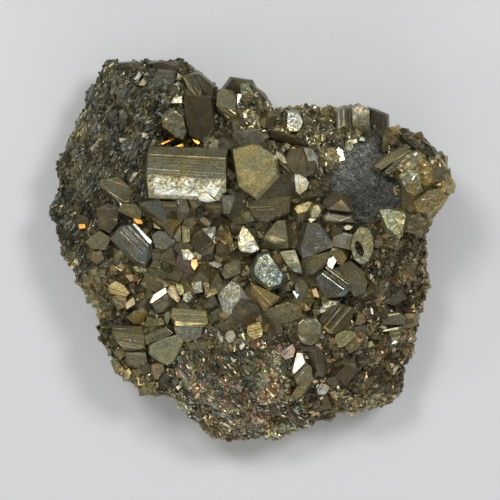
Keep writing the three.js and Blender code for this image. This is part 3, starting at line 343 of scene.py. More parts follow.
# below the middle
SOUTH_CRYSTALS = [
    flat("tall_block", "olive", 3.8, 11, 330, [
        (8.7, -24.9), (11.2, -22.3), (12.2, -23.2), (12.4, -25.6), (11.4, -27.2), (9.9, -27.1),
        (9.0, -25.8)], ribs(57, 8, 0.2)),
    flat("tall_step", "hexagon", 2.6, 14, 230, [
        (8.4, -28.6), (9.4, -27.0), (11.5, -27.3), (10.3, -28.7), (9.2, -29.4)]),
    flat("white_cap", "white", 3.6, 15, 128, [
        (9.2, -20.2), (10.3, -20.3), (11.0, -22.3), (8.7, -24.5), (8.3, -23.9), (9.5, -22.3)]),
    flat("mauve_block", "mauve", 2.6, 17, 150, [
        (5.7, -20.3), (8.4, -18.4), (9.0, -19.6), (8.6, -21.0), (6.9, -21.6)]),
    solid("brown_cone", "brown", [
        (11.0, -19.7, 1.8), (12.7, -19.4, 3.2), (13.3, -24.1, 2.8), (12.7, -24.8, 1.8),
        (14.6, -20.2, 1.6), (15.2, -23.6, 1.0), (14.6, -25.2, 0.8)]),
    flat("cone_back", "brown", 1.8, 30, 100, [
        (9.4, -18.8), (13.6, -18.8), (14.4, -19.8), (12.6, -20.2), (10.6, -20.0)]),
    flat("grey_lump", "steel", 1.7, 18, 60, [
        (13.1, -27.0), (14.6, -25.8), (16.0, -25.4), (16.8, -26.6), (15.0, -28.8), (13.4, -28.7)],
        ribs(60, 5, 0.2)),
    flat("lump_glint", "white", 1.9, 16, 38, [
        (16.6, -26.1), (17.2, -25.9), (17.9, -27.4), (17.4, -27.7)]),
    flat("bead", "grey", 2.2, 9, 100, [
        (-4.8, -16.4), (-4.1, -15.8), (-3.2, -16.0), (-2.8, -16.9), (-3.2, -18.0), (-4.2, -18.3),
        (-4.9, -17.5)], more=[(-5.2, -17.0, 1.5), (-3.6, -15.4, 1.6), (-2.4, -17.0, 1.5),
        (-3.8, -18.7, 1.4)]),
    flat("gold_bead", "gold", 2.6, 13, 100, [
        (-0.6, -15.0), (1.9, -14.1), (2.6, -15.8), (2.3, -17.0), (0.8, -17.6), (-0.4, -16.8)],
        ribs(14, 7, 0.26)),
    flat("bead_spark", "mauve", 2.0, 15, 128, [
        (-2.2, -18.9), (-1.2, -18.0), (-0.9, -18.8), (-1.8, -19.8)]),
    flat("south_spark", "pale", 0.9, 15, 128, [
        (2.1, -22.2), (2.7, -22.2), (3.3, -23.0), (2.5, -22.9)]),
    flat("brown_step", "brown", 0.9, 14, 260, [
        (-13.2, -20.4), (-9.6, -20.6), (-9.8, -22.8), (-13.2, -23.4)], mottle(0.6, 0.1)),
    flat("orange_hexagon", "tan", 2.2, 7, 240, [
        (-19.6, -22.8), (-18.4, -22.5), (-17.3, -22.7), (-17.0, -23.9), (-18.2, -25.5), (-19.0, -25.6),
        (-19.6, -24.2)]),
    flat("yellow_grain", "gold", 1.6, 12, 128, [
        (-25.2, -24.2), (-24.2, -23.6), (-23.7, -24.6), (-24.2, -25.8), (-25.2, -25.8)]),
    flat("rose_grain", "tan", 1.3, 14, 270, [
        (-23.6, -24.0), (-22.0, -23.8), (-21.6, -24.8), (-22.8, -25.5)]),
    flat("south_chip", "olive", 1.3, 8, 200, [
        (-15.2, -25.2), (-14.4, -25.0), (-14.1, -26.2), (-15.0, -27.2), (-15.6, -26.0)]),
    flat("chip_glint", "white", 1.4, 16, 38, [
        (-14.9, -27.3), (-13.4, -26.4), (-13.2, -27.0), (-14.4, -28.0)]),
    flat("south_wall", "dark", 0.8, 28, 300, [
        (-18.0, -25.6), (-16.0, -22.6), (-15.0, -21.0), (-14.6, -22.6), (-15.4, -25.4),
        (-17.6, -27.0)]),
]

# left of the middle
WEST_CRYSTALS = [
    flat("grey_top", "grey", 2.3, 11, 260, [
        (-19.5, 2.8), (-18.2, 3.8), (-15.8, 3.3), (-14.7, 1.7), (-15.4, 0.6), (-17.0, 0.1),
        (-18.8, 0.6)], mottle(0.6, 0.1)),
    flat("olive_top_west", "olive", 2.2, 12, 190, [
        (-15.3, 4.5), (-13.7, 4.9), (-13.6, 2.0), (-14.4, 1.6), (-15.2, 2.6)]),
    flat("olive_top", "olive", 2.4, 6, 20, [
        (-13.5, 4.9), (-11.9, 5.0), (-11.8, 1.7), (-13.3, 1.5)]),
    solid("barrel", "steel", [
        (-25.5, 4.7, 4.0), (-23.4, 4.7, 4.2), (-20.0, 1.0, 4.2), (-20.6, -2.6, 3.5), (-22.2, -2.3, 3.6),
        (-26.2, 2.2, 3.8), (-22.9, 5.2, 3.7), (-19.4, 1.4, 3.7), (-19.2, -1.0, 2.8), (-20.8, -3.6, 2.2),
        (-24.0, -1.8, 1.8), (-27.7, 2.3, 2.2)], ribs(-45, 9, 0.1, (4, 225))),
    flat("barrel_edge", "white", 3.9, 15, 38, [
        (-23.3, 5.1), (-22.7, 5.3), (-19.3, 1.7), (-19.6, 1.2), (-20.0, 1.3)]),
    # painted glint: an orange facet
    flat("barrel_glint", "orange", 2.6, 15, 60, [
        (-23.2, 6.4), (-22.4, 6.2), (-21.5, 6.0), (-21.2, 5.2), (-22.3, 5.1), (-22.9, 5.6)]),
    flat("barrel_foot", "olive", 1.6, 22, 240, [
        (-20.4, -3.9), (-19.0, -1.6), (-17.8, -2.2), (-17.6, -4.6), (-19.4, -5.2)]),
    flat("olive_upper", "olive", 2.4, 19, 255, [
        (-29.6, 13.9), (-26.2, 14.4), (-24.6, 13.2), (-23.2, 11.6), (-24.1, 9.6), (-25.2, 9.7),
        (-28.6, 12.0)], ribs(-20, 2, 0.16), more=[(-30.0, 12.6, 1.2), (-25.6, 8.8, 1.0)]),
    flat("olive_small", "olive", 2.3, 10, 255, [
        (-25.0, 9.3), (-22.6, 9.1), (-21.4, 7.6), (-21.8, 5.8), (-24.0, 6.6), (-26.4, 8.0)]),
    flat("olive_lower", "brown", 1.9, 14, 250, [
        (-30.6, 8.2), (-28.4, 9.2), (-26.2, 8.6), (-26.4, 5.4), (-28.0, 3.4), (-30.2, 4.4)],
        mottle(0.7, 0.14)),
    flat("lower_glint", "pale", 2.4, 16, 38, [
        (-26.0, 9.6), (-25.5, 9.4), (-25.2, 8.2), (-25.6, 7.6)]),
    flat("west_ribs", "olive", 1.9, 9, 250, [
        (-33.0, 1.6), (-30.0, 3.8), (-27.8, 2.4), (-28.8, 0.0), (-31.4, 0.2)], ribs(45, 5, 0.1)),
    flat("west_blotch", "tan", 1.5, 14, 250, [
        (-31.4, -0.6), (-29.8, 0.0), (-29.2, -1.8), (-30.6, -3.0), (-31.8, -2.0)], mottle(0.5, 0.12)),
    flat("west_brown", "brown", 1.2, 22, 240, [
        (-35.0, 6.0), (-33.6, 7.0), (-32.4, 6.4), (-32.2, 4.4), (-34.2, 4.2)]),
    # painted glints: an orange facet
    flat("west_glints", "orange", 1.7, 15, 128, [
        (-34.4, 5.2), (-33.0, 5.3), (-32.8, 4.4), (-34.2, 4.2)]),
    flat("gold_layers", "gold", 2.5, 9, 60, [
        (-28.3, -7.2), (-26.8, -6.1), (-25.2, -7.0), (-24.0, -8.6), (-24.8, -9.4), (-26.6, -8.6),
        (-28.0, -8.6)], ribs(-20, 4, 0.12)),
    flat("gold_curls", "tan", 2.0, 20, 235, [
        (-27.6, -9.2), (-26.2, -8.8), (-24.6, -9.6), (-24.8, -11.4), (-26.2, -12.0), (-27.2, -10.6)],
        ribs(-35, 6, 0.26)),
    flat("gold_wing", "tan", 1.7, 14, 30, [
        (-24.9, -10.6), (-23.2, -9.2), (-22.8, -10.8), (-24.6, -11.9)]),
    solid("gold_brown", "gold", [
        (-24.7, -13.5, 1.0), (-23.1, -12.2, 2.2), (-21.0, -11.4, 1.6), (-20.2, -12.7, 1.2),
        (-21.5, -14.7, 0.7), (-23.1, -14.8, 1.1)]),
    flat("orange_block", "tan", 1.8, 14, 60, [
        (-24.9, -5.0), (-23.4, -4.8), (-22.9, -5.8), (-23.8, -6.4)]),
    flat("orange_side", "copper", 1.4, 24, 320, [
        (-23.3, -4.9), (-22.1, -5.3), (-22.5, -6.4), (-23.5, -6.2)]),
    flat("white_wedge", "white", 2.9, 15, 128, [
        (-19.9, -10.4), (-19.1, -8.8), (-16.7, -7.3), (-16.4, -8.5), (-19.4, -10.6)]),
    flat("wedge_shadow", "dark", 2.0, 32, 290, [
        (-19.4, -10.7), (-16.4, -8.7), (-14.0, -10.7), (-15.5, -12.0), (-18.4, -12.6)]),
    flat("pale_wedge", "tan", 2.7, 11, 45, [
        (-16.5, -8.2), (-15.8, -6.9), (-14.8, -7.2), (-13.8, -9.6), (-14.2, -10.5), (-16.1, -8.9)]),
    flat("olive_block", "hexagon", 3.2, 4, 260, [
        (-15.2, -11.5), (-8.6, -12.0), (-8.3, -14.5), (-14.8, -14.0)], ribs(-3, 5, 0.05),
        more=[(-9.0, -15.3, 2.2), (-14.8, -15.1, 2.2), (-15.9, -12.8, 2.0)]),
    flat("green_flat", "green", 1.9, 11, 270, [
        (-15.0, -15.2), (-9.4, -15.4), (-9.8, -17.2), (-12.6, -18.4), (-14.6, -16.6)],
        mottle(0.6, 0.1)),
    flat("moss_ledge", "olive", 1.0, 22, 270, [
        (-12.6, -18.4), (-8.4, -18.0), (-7.8, -19.9), (-12.0, -19.9)]),
    flat("pale_chip", "moss", 1.9, 27, 200, [
        (-17.0, -12.6), (-16.1, -12.1), (-15.8, -13.4), (-16.4, -14.9), (-17.0, -13.8)]),
    flat("moss_flat", "moss", 1.3, 12, 270, [
        (-20.4, -13.2), (-18.6, -13.8), (-17.6, -15.2), (-20.9, -15.3)]),
    solid("west_block", "olive", [
        (-27.2, -15.0, 1.7), (-21.6, -15.2, 1.9), (-27.3, -16.3, 3.0), (-21.0, -17.1, 3.2),
        (-26.5, -18.2, 2.6), (-21.0, -19.2, 2.8), (-24.6, -20.3, 1.0), (-20.5, -20.3, 1.2)],
        ribs(-8, 6, 0.16, (12, 262)), ribs(-8, 3, 0.2, (50, 262)), ribs(-6, 3, 0.14, (48, 85))),
    flat("layered_olive", "olive", 1.6, 15, 250, [
        (-24.9, -20.5), (-20.8, -20.3), (-20.5, -22.4), (-22.2, -23.7), (-24.5, -22.9)],
        ribs(-10, 6, 0.22)),
    flat("olive_slab", "olive", 2.3, 17, 255, [
        (-20.9, -17.0), (-16.8, -15.3), (-15.2, -16.5), (-17.0, -17.6), (-20.6, -18.8)],
        ribs(22, 4, 0.06)),
    flat("green_round", "green", 2.7, 8, 255, [
        (-19.9, -18.9), (-17.0, -17.6), (-14.2, -16.7), (-13.2, -18.2), (-14.2, -19.8), (-15.2, -22.2),
        (-16.4, -22.8), (-18.2, -21.9), (-19.9, -20.6)], mottle(0.7, 0.08)),
    flat("druse_white", "moss", 2.0, 15, 128, [
        (-14.6, -6.5), (-13.3, -7.1), (-13.0, -8.6), (-13.8, -9.0), (-14.6, -7.6)], mottle(0.4, 0.1)),
    flat("druse_rose", "pale", 1.9, 14, 38, [
        (-13.2, -8.9), (-12.0, -8.2), (-11.3, -9.4), (-12.4, -10.4), (-13.3, -9.9)], mottle(0.4, 0.14)),
    flat("druse_yellow", "pale", 1.9, 14, 60, [
        (-11.6, -6.4), (-9.6, -6.1), (-9.3, -8.3), (-11.0, -8.6)], mottle(0.4, 0.14)),
    flat("druse_brown", "gold", 1.5, 22, 60, [
        (-9.3, -6.4), (-6.9, -5.9), (-6.4, -8.6), (-8.6, -9.4)], mottle(0.5, 0.12)),
]

# the crest and the peak
CREST_CRYSTALS = [
    flat("crest_face", "steel", 2.4, 27, 110, [
        (-19.8, 33.2), (-18.0, 35.5), (-15.4, 35.3), (-15.1, 33.2), (-15.8, 31.8), (-19.3, 31.0)]),
    flat("crest_slope", "olive", 2.0, 33, 345, [
        (-13.6, 34.4), (-10.2, 35.2), (-7.4, 32.6), (-7.6, 29.4), (-9.9, 28.8), (-12.4, 31.6)],
        ribs(-52, 12, 0.3)),
    flat("crest_edge", "flake", 2.8, 10, 250, [
        (-13.4, 34.3), (-12.8, 34.2), (-9.8, 29.8), (-10.3, 29.6), (-12.4, 32.2)]),
    flat("crest_streak", "flake", 2.4, 12, 250, [
        (-11.4, 32.4), (-10.9, 32.4), (-8.6, 29.3), (-9.1, 29.2)]),
    flat("crest_brown", "brown", 1.2, 28, 330, [
        (-13.0, 30.6), (-8.0, 30.0), (-7.0, 24.2), (-9.4, 21.4), (-12.0, 22.8), (-12.8, 26.4)],
        ribs(-62, 16, 0.3)),
    flat("crest_back", "umber", 1.2, 30, 160, [
        (-19.8, 37.6), (-17.6, 37.8), (-14.4, 36.4), (-15.4, 35.2), (-18.6, 35.8)], mottle(0.9, 0.2)),
    flat("crest_west", "dark", 1.0, 22, 215, [
        (-26.2, 37.4), (-23.2, 37.5), (-21.6, 35.6), (-23.6, 33.8), (-26.4, 34.4)], mottle(0.8, 0.24)),
    flat("crest_lump", "olive", 1.5, 20, 240, [
        (-19.6, 30.4), (-16.6, 30.8), (-15.4, 29.0), (-17.4, 27.2), (-19.6, 28.0)], mottle(0.5, 0.3)),
    flat("peak_ribs", "olive", 3.4, 7, 290, [
        (-6.6, 31.0), (-5.5, 31.8), (-3.5, 31.4), (-3.0, 30.2), (-2.9, 27.6), (-6.7, 29.0)],
        ribs(-42, 6, 0.2, (24, 235)), more=[(-2.3, 25.3, 2.0), (-3.4, 24.8, 1.7), (-6.4, 27.6, 2.5)]),
    solid("peak_dark", "umber", [
        (-5.0, 32.6, 1.2), (-3.5, 34.5, 1.4), (-0.2, 34.0, 1.4), (0.5, 32.8, 0.8), (-2.2, 32.8, 3.0),
        (-1.6, 30.2, 2.4), (-3.1, 30.8, 2.2)]),
    flat("peak_pale", "moss_pale", 3.0, 14, 250, [
        (-2.0, 33.2), (-0.4, 33.5), (0.6, 31.8), (-0.6, 29.8), (-1.8, 30.4)], mottle(0.5, 0.16)),
    flat("peak_east", "brown", 1.6, 30, 350, [
        (0.3, 33.2), (2.4, 31.2), (3.6, 29.8), (2.2, 28.2), (0.2, 29.6)], ribs(-60, 6, 0.16)),
    flat("peak_glint", "white", 1.6, 15, 128, [
        (2.6, 29.6), (3.4, 30.0), (3.9, 29.0), (3.0, 28.5)]),
    flat("overhang", "olive", 3.4, 13, 280, [
        (-17.4, 26.4), (-16.4, 27.5), (-15.0, 27.8), (-13.2, 26.4), (-12.6, 23.4), (-13.2, 21.9),
        (-14.6, 22.3), (-17.2, 24.4)], mottle(0.55, 0.18)),
    flat("overhang_white", "white", 2.4, 15, 128, [
        (-15.7, 28.9), (-15.0, 30.1), (-13.4, 30.3), (-13.4, 28.9)], mottle(0.6, 0.1)),
    # painted glints: bright orange facets in the dark hollow north of the bar
    flat("cave_glint_a", "orange", 3.4, 16, 38, [
        (-17.8, 21.1), (-15.1, 22.4), (-14.9, 21.9), (-17.4, 20.8)]),
    flat("cave_glint_b", "orange", 3.0, 16, 128, [
        (-15.5, 20.4), (-13.4, 21.2), (-13.0, 20.6), (-14.8, 20.0)]),
    flat("cave_glint_c", "orange", 2.4, 16, 38, [
        (-11.8, 22.6), (-11.3, 22.9), (-9.8, 21.3), (-10.4, 20.9), (-11.3, 21.7)]),
    flat("crest_glint_a", "white", 1.4, 16, 38, [
        (-23.4, 33.5), (-22.2, 35.8), (-21.6, 34.9), (-22.6, 33.4)]),
    flat("crest_glint_b", "pale", 1.4, 15, 128, [
        (-22.3, 32.7), (-21.2, 34.2), (-20.5, 33.3), (-21.0, 32.6)], mottle(0.5, 0.12)),
    flat("crest_glint_c", "white", 1.6, 15, 128, [
        (-14.8, 33.9), (-14.4, 35.3), (-13.5, 34.5), (-13.2, 33.9)], mottle(0.5, 0.16)),
    solid("arc_band", "umber", [
        (4.0, 23.8, 1.6), (7.2, 22.9, 2.0), (10.0, 22.3, 1.9), (11.8, 20.6, 1.4), (11.2, 20.2, 0.6),
        (8.6, 21.5, 0.9), (4.2, 22.3, 0.9)], ribs(-18, 4, 0.2, (20, 260))),
    flat("arc_grey", "grey", 1.9, 18, 255, [
        (-3.6, 23.2), (0.2, 24.0), (3.8, 22.6), (2.0, 20.9), (-3.0, 20.8)], mottle(0.7, 0.16)),
    flat("ridge_bright", "white", 3.2, 10, 60, [
        (7.3, 24.4), (7.5, 27.4), (9.6, 27.4), (10.4, 25.4), (9.6, 23.6), (8.0, 23.6)],
        mottle(0.45, 0.16)),
    flat("column_a", "pale", 1.4, 26, 10, [
        (17.4, 21.2), (17.2, 27.4), (18.8, 28.2), (20.0, 28.0), (19.9, 21.0)], ribs(88, 5, 0.3)),
    flat("column_b", "pale", 2.4, 37, 268, [
        (20.5, 21.6), (20.3, 27.8), (21.8, 28.6), (23.6, 27.4), (23.8, 22.6), (22.6, 21.4)],
        mottle(0.4, 0.09)),
    flat("column_spot", "white", 2.5, 37, 268, [
        (21.5, 21.6), (21.9, 22.4), (22.6, 22.2), (22.8, 21.5)]),
    flat("column_c", "umber", 1.4, 30, 350, [
        (24.1, 22.8), (24.2, 28.2), (25.6, 27.6), (27.4, 26.8), (27.5, 24.2), (25.4, 22.6)],
        ribs(88, 5, 0.2)),
]

# the knob on the right
EAST_KNOB = [
    solid("knob", "knob", [
        (29.6, 21.6, -2.6), (33.2, 20.6, -2.4), (37.0, 16.8, -4.4), (37.7, 13.4, -4.8),
        (37.1, 10.9, -4.8), (34.8, 8.6, -3.6), (31.4, 8.8, -2.0), (29.6, 12.4, -0.6), (32.4, 16.4, 0.4),
        (35.4, 13.4, -0.6), (28.8, 18.4, -0.8), (35.0, 17.2, -1.0), (28.6, 22.8, -10.0),
        (33.4, 21.2, -13.0), (36.4, 17.2, -17.0), (37.0, 13.4, -18.0), (36.2, 10.4, -17.0),
        (34.2, 8.0, -14.0), (30.4, 8.0, -10.0)], mottle(0.7, 0.4, (25, 60)), mottle(0.7, 0.5, (45, 40)),
        mottle(0.7, 0.4, (35, 350)), mottle(0.8, 0.5, (45, 80)), mottle(0.7, 0.4, (30, 30)),
        mottle(0.8, 0.5, (78, 40)), mottle(0.8, 0.5, (78, 0)), mottle(0.8, 0.5, (78, 70)),
        mottle(0.8, 0.5, (78, 330))),
    flat("knob_ridge", "umber", -1.4, 28, 60, [
        (29.8, 22.6), (32.4, 22.6), (35.6, 20.4), (36.4, 18.6), (34.4, 18.8), (31.4, 20.8)],
        mottle(0.7, 0.4)),
    flat("knob_side", "olive", -1.8, 24, 350, [
        (35.2, 18.6), (37.4, 17.8), (38.9, 15.2), (38.2, 12.6), (36.2, 12.8), (35.0, 15.6)],
        mottle(0.6, 0.4)),
    flat("knob_facet", "steel", -4.2, 20, 20, [
        (38.2, 11.2), (38.8, 13.2), (39.4, 15.6), (39.4, 12.4), (38.9, 10.9)]),
    flat("knob_tan", "gold_flake", -1.6, 20, 290, [
        (34.8, 11.6), (37.0, 12.0), (38.6, 10.6), (37.0, 8.6), (35.2, 7.4), (33.0, 7.8), (32.2, 9.4)],
        mottle(0.5, 0.2)),
    flat("flake_a", "flake", 0.9, 10, 250, [
        (24.3, 16.4), (26.8, 18.4), (30.4, 20.6), (31.4, 20.0), (28.8, 17.7), (26.0, 15.9)],
        ribs(36, 5, 0.3)),
    flat("flake_b", "olive", 1.2, 14, 280, [
        (26.3, 15.4), (28.8, 17.8), (31.2, 19.6), (32.4, 18.6), (29.8, 16.2), (26.9, 14.9)],
        ribs(38, 6, 0.3)),
    flat("flake_c", "flake", 1.4, 8, 265, [
        (28.6, 16.2), (30.6, 18.6), (32.6, 19.4), (34.4, 18.2), (33.4, 15.6), (30.2, 14.8)],
        mottle(0.6, 0.34)),
    flat("flake_d", "gold_flake", 1.2, 14, 250, [
        (32.2, 16.4), (34.0, 17.8), (35.8, 16.4), (36.0, 13.4), (34.4, 12.4), (32.6, 13.6)],
        mottle(0.6, 0.34)),
    flat("flake_e", "flake", 1.5, 7, 230, [
        (29.0, 14.6), (31.0, 16.0), (33.4, 15.2), (33.6, 12.4), (32.0, 10.9), (30.6, 11.6),
        (30.2, 13.2)], mottle(0.6, 0.34)),
    flat("flake_edge", "gold_flake", 1.5, 17, 270, [
        (30.2, 12.4), (32.0, 10.7), (33.8, 11.7), (33.4, 13.0), (31.2, 13.2)], ribs(60, 6, 0.26)),
    flat("flake_glint", "white", 1.9, 16, 38, [
        (31.8, 18.6), (32.4, 19.3), (32.9, 18.9), (32.4, 18.3)]),
    flat("flake_streak", "pale", 1.9, 15, 60, [
        (31.4, 13.6), (32.0, 14.6), (32.5, 14.6), (31.9, 13.6)]),
    flat("knob_chip_a", "moss_pale", -1.6, 3, 200, [
        (25.5, 7.9), (27.3, 8.1), (28.4, 6.6), (29.6, 3.6), (28.9, 2.9), (27.0, 4.4), (27.4, 6.0)],
        mottle(0.5, 0.1)),
    flat("knob_chip_b", "moss_pale", -1.4, 4, 300, [
        (27.5, 8.0), (30.3, 7.4), (30.7, 6.4), (29.9, 4.0), (29.8, 3.4), (28.5, 6.7)],
        mottle(0.5, 0.1)),
    flat("chip_foot", "brown", -3.4, 20, 250, [
        (31.0, 6.6), (33.4, 7.2), (35.2, 5.2), (33.6, 3.6), (31.4, 4.2)], mottle(0.7, 0.25)),
]

# the crystals round the knob's outer side
KNOB_WALL = [
    solid("wall_north", "umber", [
        (28.6, 22.6, 7.4), (31.6, 22.8, 7.0), (32.6, 20.8, 8.4), (29.4, 20.6, 8.6)]),
    solid("wall_north_east", "olive", [
        (32.0, 21.6, 6.8), (34.8, 21.0, 6.0), (36.2, 18.6, 6.4), (34.0, 18.2, 7.6)]),
    solid("wall_upper_east", "brown", [
        (36.0, 19.0, 3.6), (37.9, 17.4, 4.2), (38.5, 14.8, 5.2), (36.8, 14.4, 6.4), (35.6, 17.8, 6.2)]),
    solid("wall_east", "grey", [
        (36.8, 14.9, 5.0), (38.6, 14.2, 3.2), (38.7, 11.8, 2.6), (37.4, 10.8, 4.4)]),
    solid("wall_lower_east", "umber", [
        (36.4, 12.0, 6.6), (37.9, 11.2, 5.6), (37.2, 8.9, 5.4), (35.2, 9.0, 6.8)]),
    solid("wall_south_east", "olive", [
        (34.9, 9.4, 6.4), (36.3, 8.0, 4.4), (34.6, 6.6, 4.0), (32.8, 8.2, 6.4)]),
    solid("wall_foot", "brown", [
        (37.2, 17.2, 0.6), (38.3, 15.8, 0.2), (38.4, 13.0, -0.4), (36.9, 13.4, 1.0)]),
    solid("wall_step", "steel", [
        (34.0, 21.9, 1.6), (36.0, 20.6, 1.0), (36.2, 18.9, 1.8), (34.0, 19.6, 3.0)]),
]

# the hollow crystal east of the middle: its rim and the edge of its pit, seen from above
HOLLOW_RIM = [
    (20.4, 3.0), (21.7, 4.5), (23.3, 4.2), (24.3, 2.3), (24.2, -0.2), (23.4, -2.2),
    (21.9, -2.8), (20.5, -1.8), (19.9, 0.6),
]
HOLLOW_PIT = [
    (20.7, 1.6), (21.2, 1.9), (21.8, 1.4), (22.3, 0.6), (22.5, -0.3), (22.3, -1.2),
    (21.7, -1.2), (21.1, -0.6), (20.7, 0.4),
]
HOLLOW_CRYSTAL = [
    flat("hollow_rim", "hollow", 3.1, 6, 250,
         [HOLLOW_RIM[i], HOLLOW_RIM[i - 1], HOLLOW_PIT[i - 1], HOLLOW_PIT[i]], mottle(0.6, 0.1))
    for i in range(len(HOLLOW_RIM))
]

# the bright lines on the striped block: how far each lies from the first, and its width
STRIPES = [(0.1, 0.26), (0.85, 0.14), (1.5, 0.22), (2.0, 0.1)]
STRIPE_ENDS = [(13.9, -4.7), (18.4, -8.0)]
STRIPE_ACROSS = (0.6, 0.8)              # direction from one line to the next
STRIPE_HEIGHT = 4.3
STRIPE_CLIMB = 0.25


def stripe(shift, width):
    first, last = STRIPE_ENDS
    right, up = STRIPE_ACROSS
    far = shift + width
    corners = [
        (x + at * right, y + at * up)
        for at, (x, y) in ((shift, first), (shift, last), (far, last), (far, first))
    ]
    return flat("stripe", "pale", STRIPE_HEIGHT + shift * STRIPE_CLIMB, 16, 38, corners)


PIECES = [
    ("bar_crystal", BAR_CRYSTAL),
    ("hexagon_crystal", HEXAGON_CRYSTAL),
    ("middle_crystals", MIDDLE_CRYSTALS),
    ("east_crystals", EAST_CRYSTALS),
    ("south_crystals", SOUTH_CRYSTALS),
    ("west_crystals", WEST_CRYSTALS),
    ("crest_crystals", CREST_CRYSTALS),
    ("east_knob", EAST_KNOB),
    ("knob_wall", KNOB_WALL),
    ("east_crystals", HOLLOW_CRYSTAL + [stripe(*line) for line in STRIPES]),
]
GEMS = [
    gem._replace(piece=piece, level=LEVELS.get(piece))
    for piece, gems in PIECES for gem in gems
]

# finish: base colour, roughness
FINISHES = {
    "bar": ((0.33, 0.30, 0.195), 0.24),
    "umber": ((0.17, 0.14, 0.09), 0.32),
    "hollow": ((0.50, 0.47, 0.31), 0.34),
    "hexagon": ((0.56, 0.49, 0.27), 0.26),
    "olive": ((0.41, 0.365, 0.23), 0.24),
    "brown": ((0.27, 0.22, 0.14), 0.28),
    "grey": ((0.41, 0.385, 0.30), 0.28),
    "steel": ((0.27, 0.27, 0.235), 0.30),
    "gold": ((0.56, 0.43, 0.19), 0.26),
    "tan": ((0.52, 0.41, 0.25), 0.28),
    "pale": ((0.60, 0.56, 0.42), 0.28),
    # partly painted highlight: paler than the pyrite elsewhere, for faces turned to mirror a lamp
    "white": ((0.74, 0.73, 0.62), 0.26),
    "flake": ((0.47, 0.42, 0.27), 0.32),
    "gold_flake": ((0.46, 0.37, 0.18), 0.34),
    "teal": ((0.35, 0.38, 0.33), 0.26),
    "green": ((0.44, 0.44, 0.31), 0.34),
    "moss": ((0.50, 0.50, 0.26), 0.30),
    "moss_pale": ((0.62, 0.62, 0.40), 0.30),
    "mauve": ((0.40, 0.32, 0.28), 0.26),
    "copper": ((0.62, 0.34, 0.16), 0.28),
    # painted glints: a saturated orange for small facets that stand for golden light thrown between
    # crystals
    "orange": ((0.95, 0.50, 0.12), 0.24),
    "knob": ((0.22, 0.19, 0.12), 0.38),
    "dark": ((0.22, 0.20, 0.15), 0.30),
}
BEVEL = 0.08
BEVELLED_EDGE = 2.5 * BEVEL             # shorter edges stay sharp
FLAT_ENOUGH = math.radians(5)           # faces that meet at less than this are joined
ORDER = Vector((0.71, 0.53, 0.46))      # the direction that a mesh's elements are sorted along
GEM_ROOT = 4.0                          # how far a crystal goes down into the matrix
ROOT_SPREAD = 1.0                       # how far it reaches out sideways there
RISER = (0.12, 0.34)                    # width of the step between two ribs
RISER_SHARE = 0.4                       # and its widest share of the ribs' spacing
RIB_WANDER = 0.3                        # how far a rib or a cut strays, in spacings
CUT_WANDER = 0.25
PLATES = (1, 4)                         # growth plates on a face: from, up to but without
PLATE_RISE = (0.05, 0.14)
PLATE_SIZE = (0.35, 0.8)
PLATE_SPREAD = 0.6                      # below 1 the plates keep to the face's corners
PLATE_AREA = 5.0                        # faces smaller than this carry no growth plates
PLATE_SLOPE = 0.5                       # nor do faces that look up less than this
FACE_SHADE = (0.88, 1.1)                # brightness of a face, times its crystal's
FACE_ROUGHNESS = (0.75, 1.3)
LINE_OFFSET = 100                       # growth lines start anywhere up to here

# ---------------------------------------------------------------- the smaller crystals

GEM_SEED = 3
FILLER_SEED = 23
LARGE_FILLERS = 260
TOP_FILLERS = 520
FLANK_FILLERS = 330
LARGE = 1.5                             # crystals above this size grow in the middle only
FILLER_REACH = 0.95                     # share of the rim's radius where they still grow
GOLDEN_ANGLE = math.pi * (3 - math.sqrt(5))

DRUSE_SEED = 5
DRUSE_TRIES = 112000
BARE = -99.0                            # foot of a crystal that carries no brown film and no painted shade
NOISE_TABLE = 8192                      # random numbers that the noise picks from
HASH_FACTORS = (73856093, 19349663, 83492791)

# ---------------------------------------------------------------- numbers and noise


def lattice_noise(points, cell, seed):
    """Smooth noise from -1 to 1 with features about one cell wide."""
    table = np.random.default_rng(seed).random(NOISE_TABLE) * 2 - 1
    scaled = points / cell
    corner = np.floor(scaled).astype(np.int64)
    part = scaled - corner
    part = part * part * (3 - 2 * part)
    total = np.zeros(len(points))
    for dx in (0, 1):
        for dy in (0, 1):
            for dz in (0, 1):
                x, y, z = ((corner + (dx, dy, dz)) * HASH_FACTORS).T
                key = (x ^ y ^ z) & (NOISE_TABLE - 1)
                weight = np.prod(np.where((dx, dy, dz), part, 1 - part), axis=1)
                total += table[key] * weight
    return total


def wave_sum(points, waves, seed):
    return sum(
        height * lattice_noise(points, length, seed + i)
        for i, (length, height) in enumerate(waves)
    )


_rim = sorted((math.atan2(y, x), math.hypot(x, y)) for x, y in RIM_OUTLINE)
_rim_angles = [_rim[-1][0] - 2 * math.pi] + [a for a, _ in _rim] + [_rim[0][0] + 2 * math.pi]
_rim_radii = [_rim[-1][1]] + [r for _, r in _rim] + [_rim[0][1]]


def rim_radius(angle):
    return np.interp(angle, _rim_angles, _rim_radii)


def rim_height(angle):
    return RIM_HEIGHT + RIM_SWELL * np.sin(2 * angle + RIM_TURN)


def top_height(x, y):
    hills = PLATEAU_HEIGHT + sum(
        rise * np.exp(-0.5 * (((x - hx) / sx) ** 2 + ((y - hy) / sy) ** 2))
        for hx, hy, sx, sy, rise in HILLS
    )
    angle = np.arctan2(y, x)
    share = np.minimum(1, np.hypot(x, y) / rim_radius(angle))
    rim = rim_height(angle)
    return rim + (hills - rim) * (1 - share ** SHOULDER_POWER)


# ---------------------------------------------------------------- pieces from arrays

Part = namedtuple("Part", "points corners counts looks ribs levels")


def join_parts(parts):
    """Several parts as one, with their corner numbers shifted."""
    shift = 0
    corners = []
    for part in parts:
        corners.append(part.corners + shift)
        shift += len(part.points)
    return Part(
        np.concatenate([p.points for p in parts]),
        np.concatenate(corners),
        np.concatenate([p.counts for p in parts]),
        np.concatenate([p.looks for p in parts]),
        np.concatenate([p.ribs for p in parts]),
        np.concatenate([p.levels for p in parts]),
    )


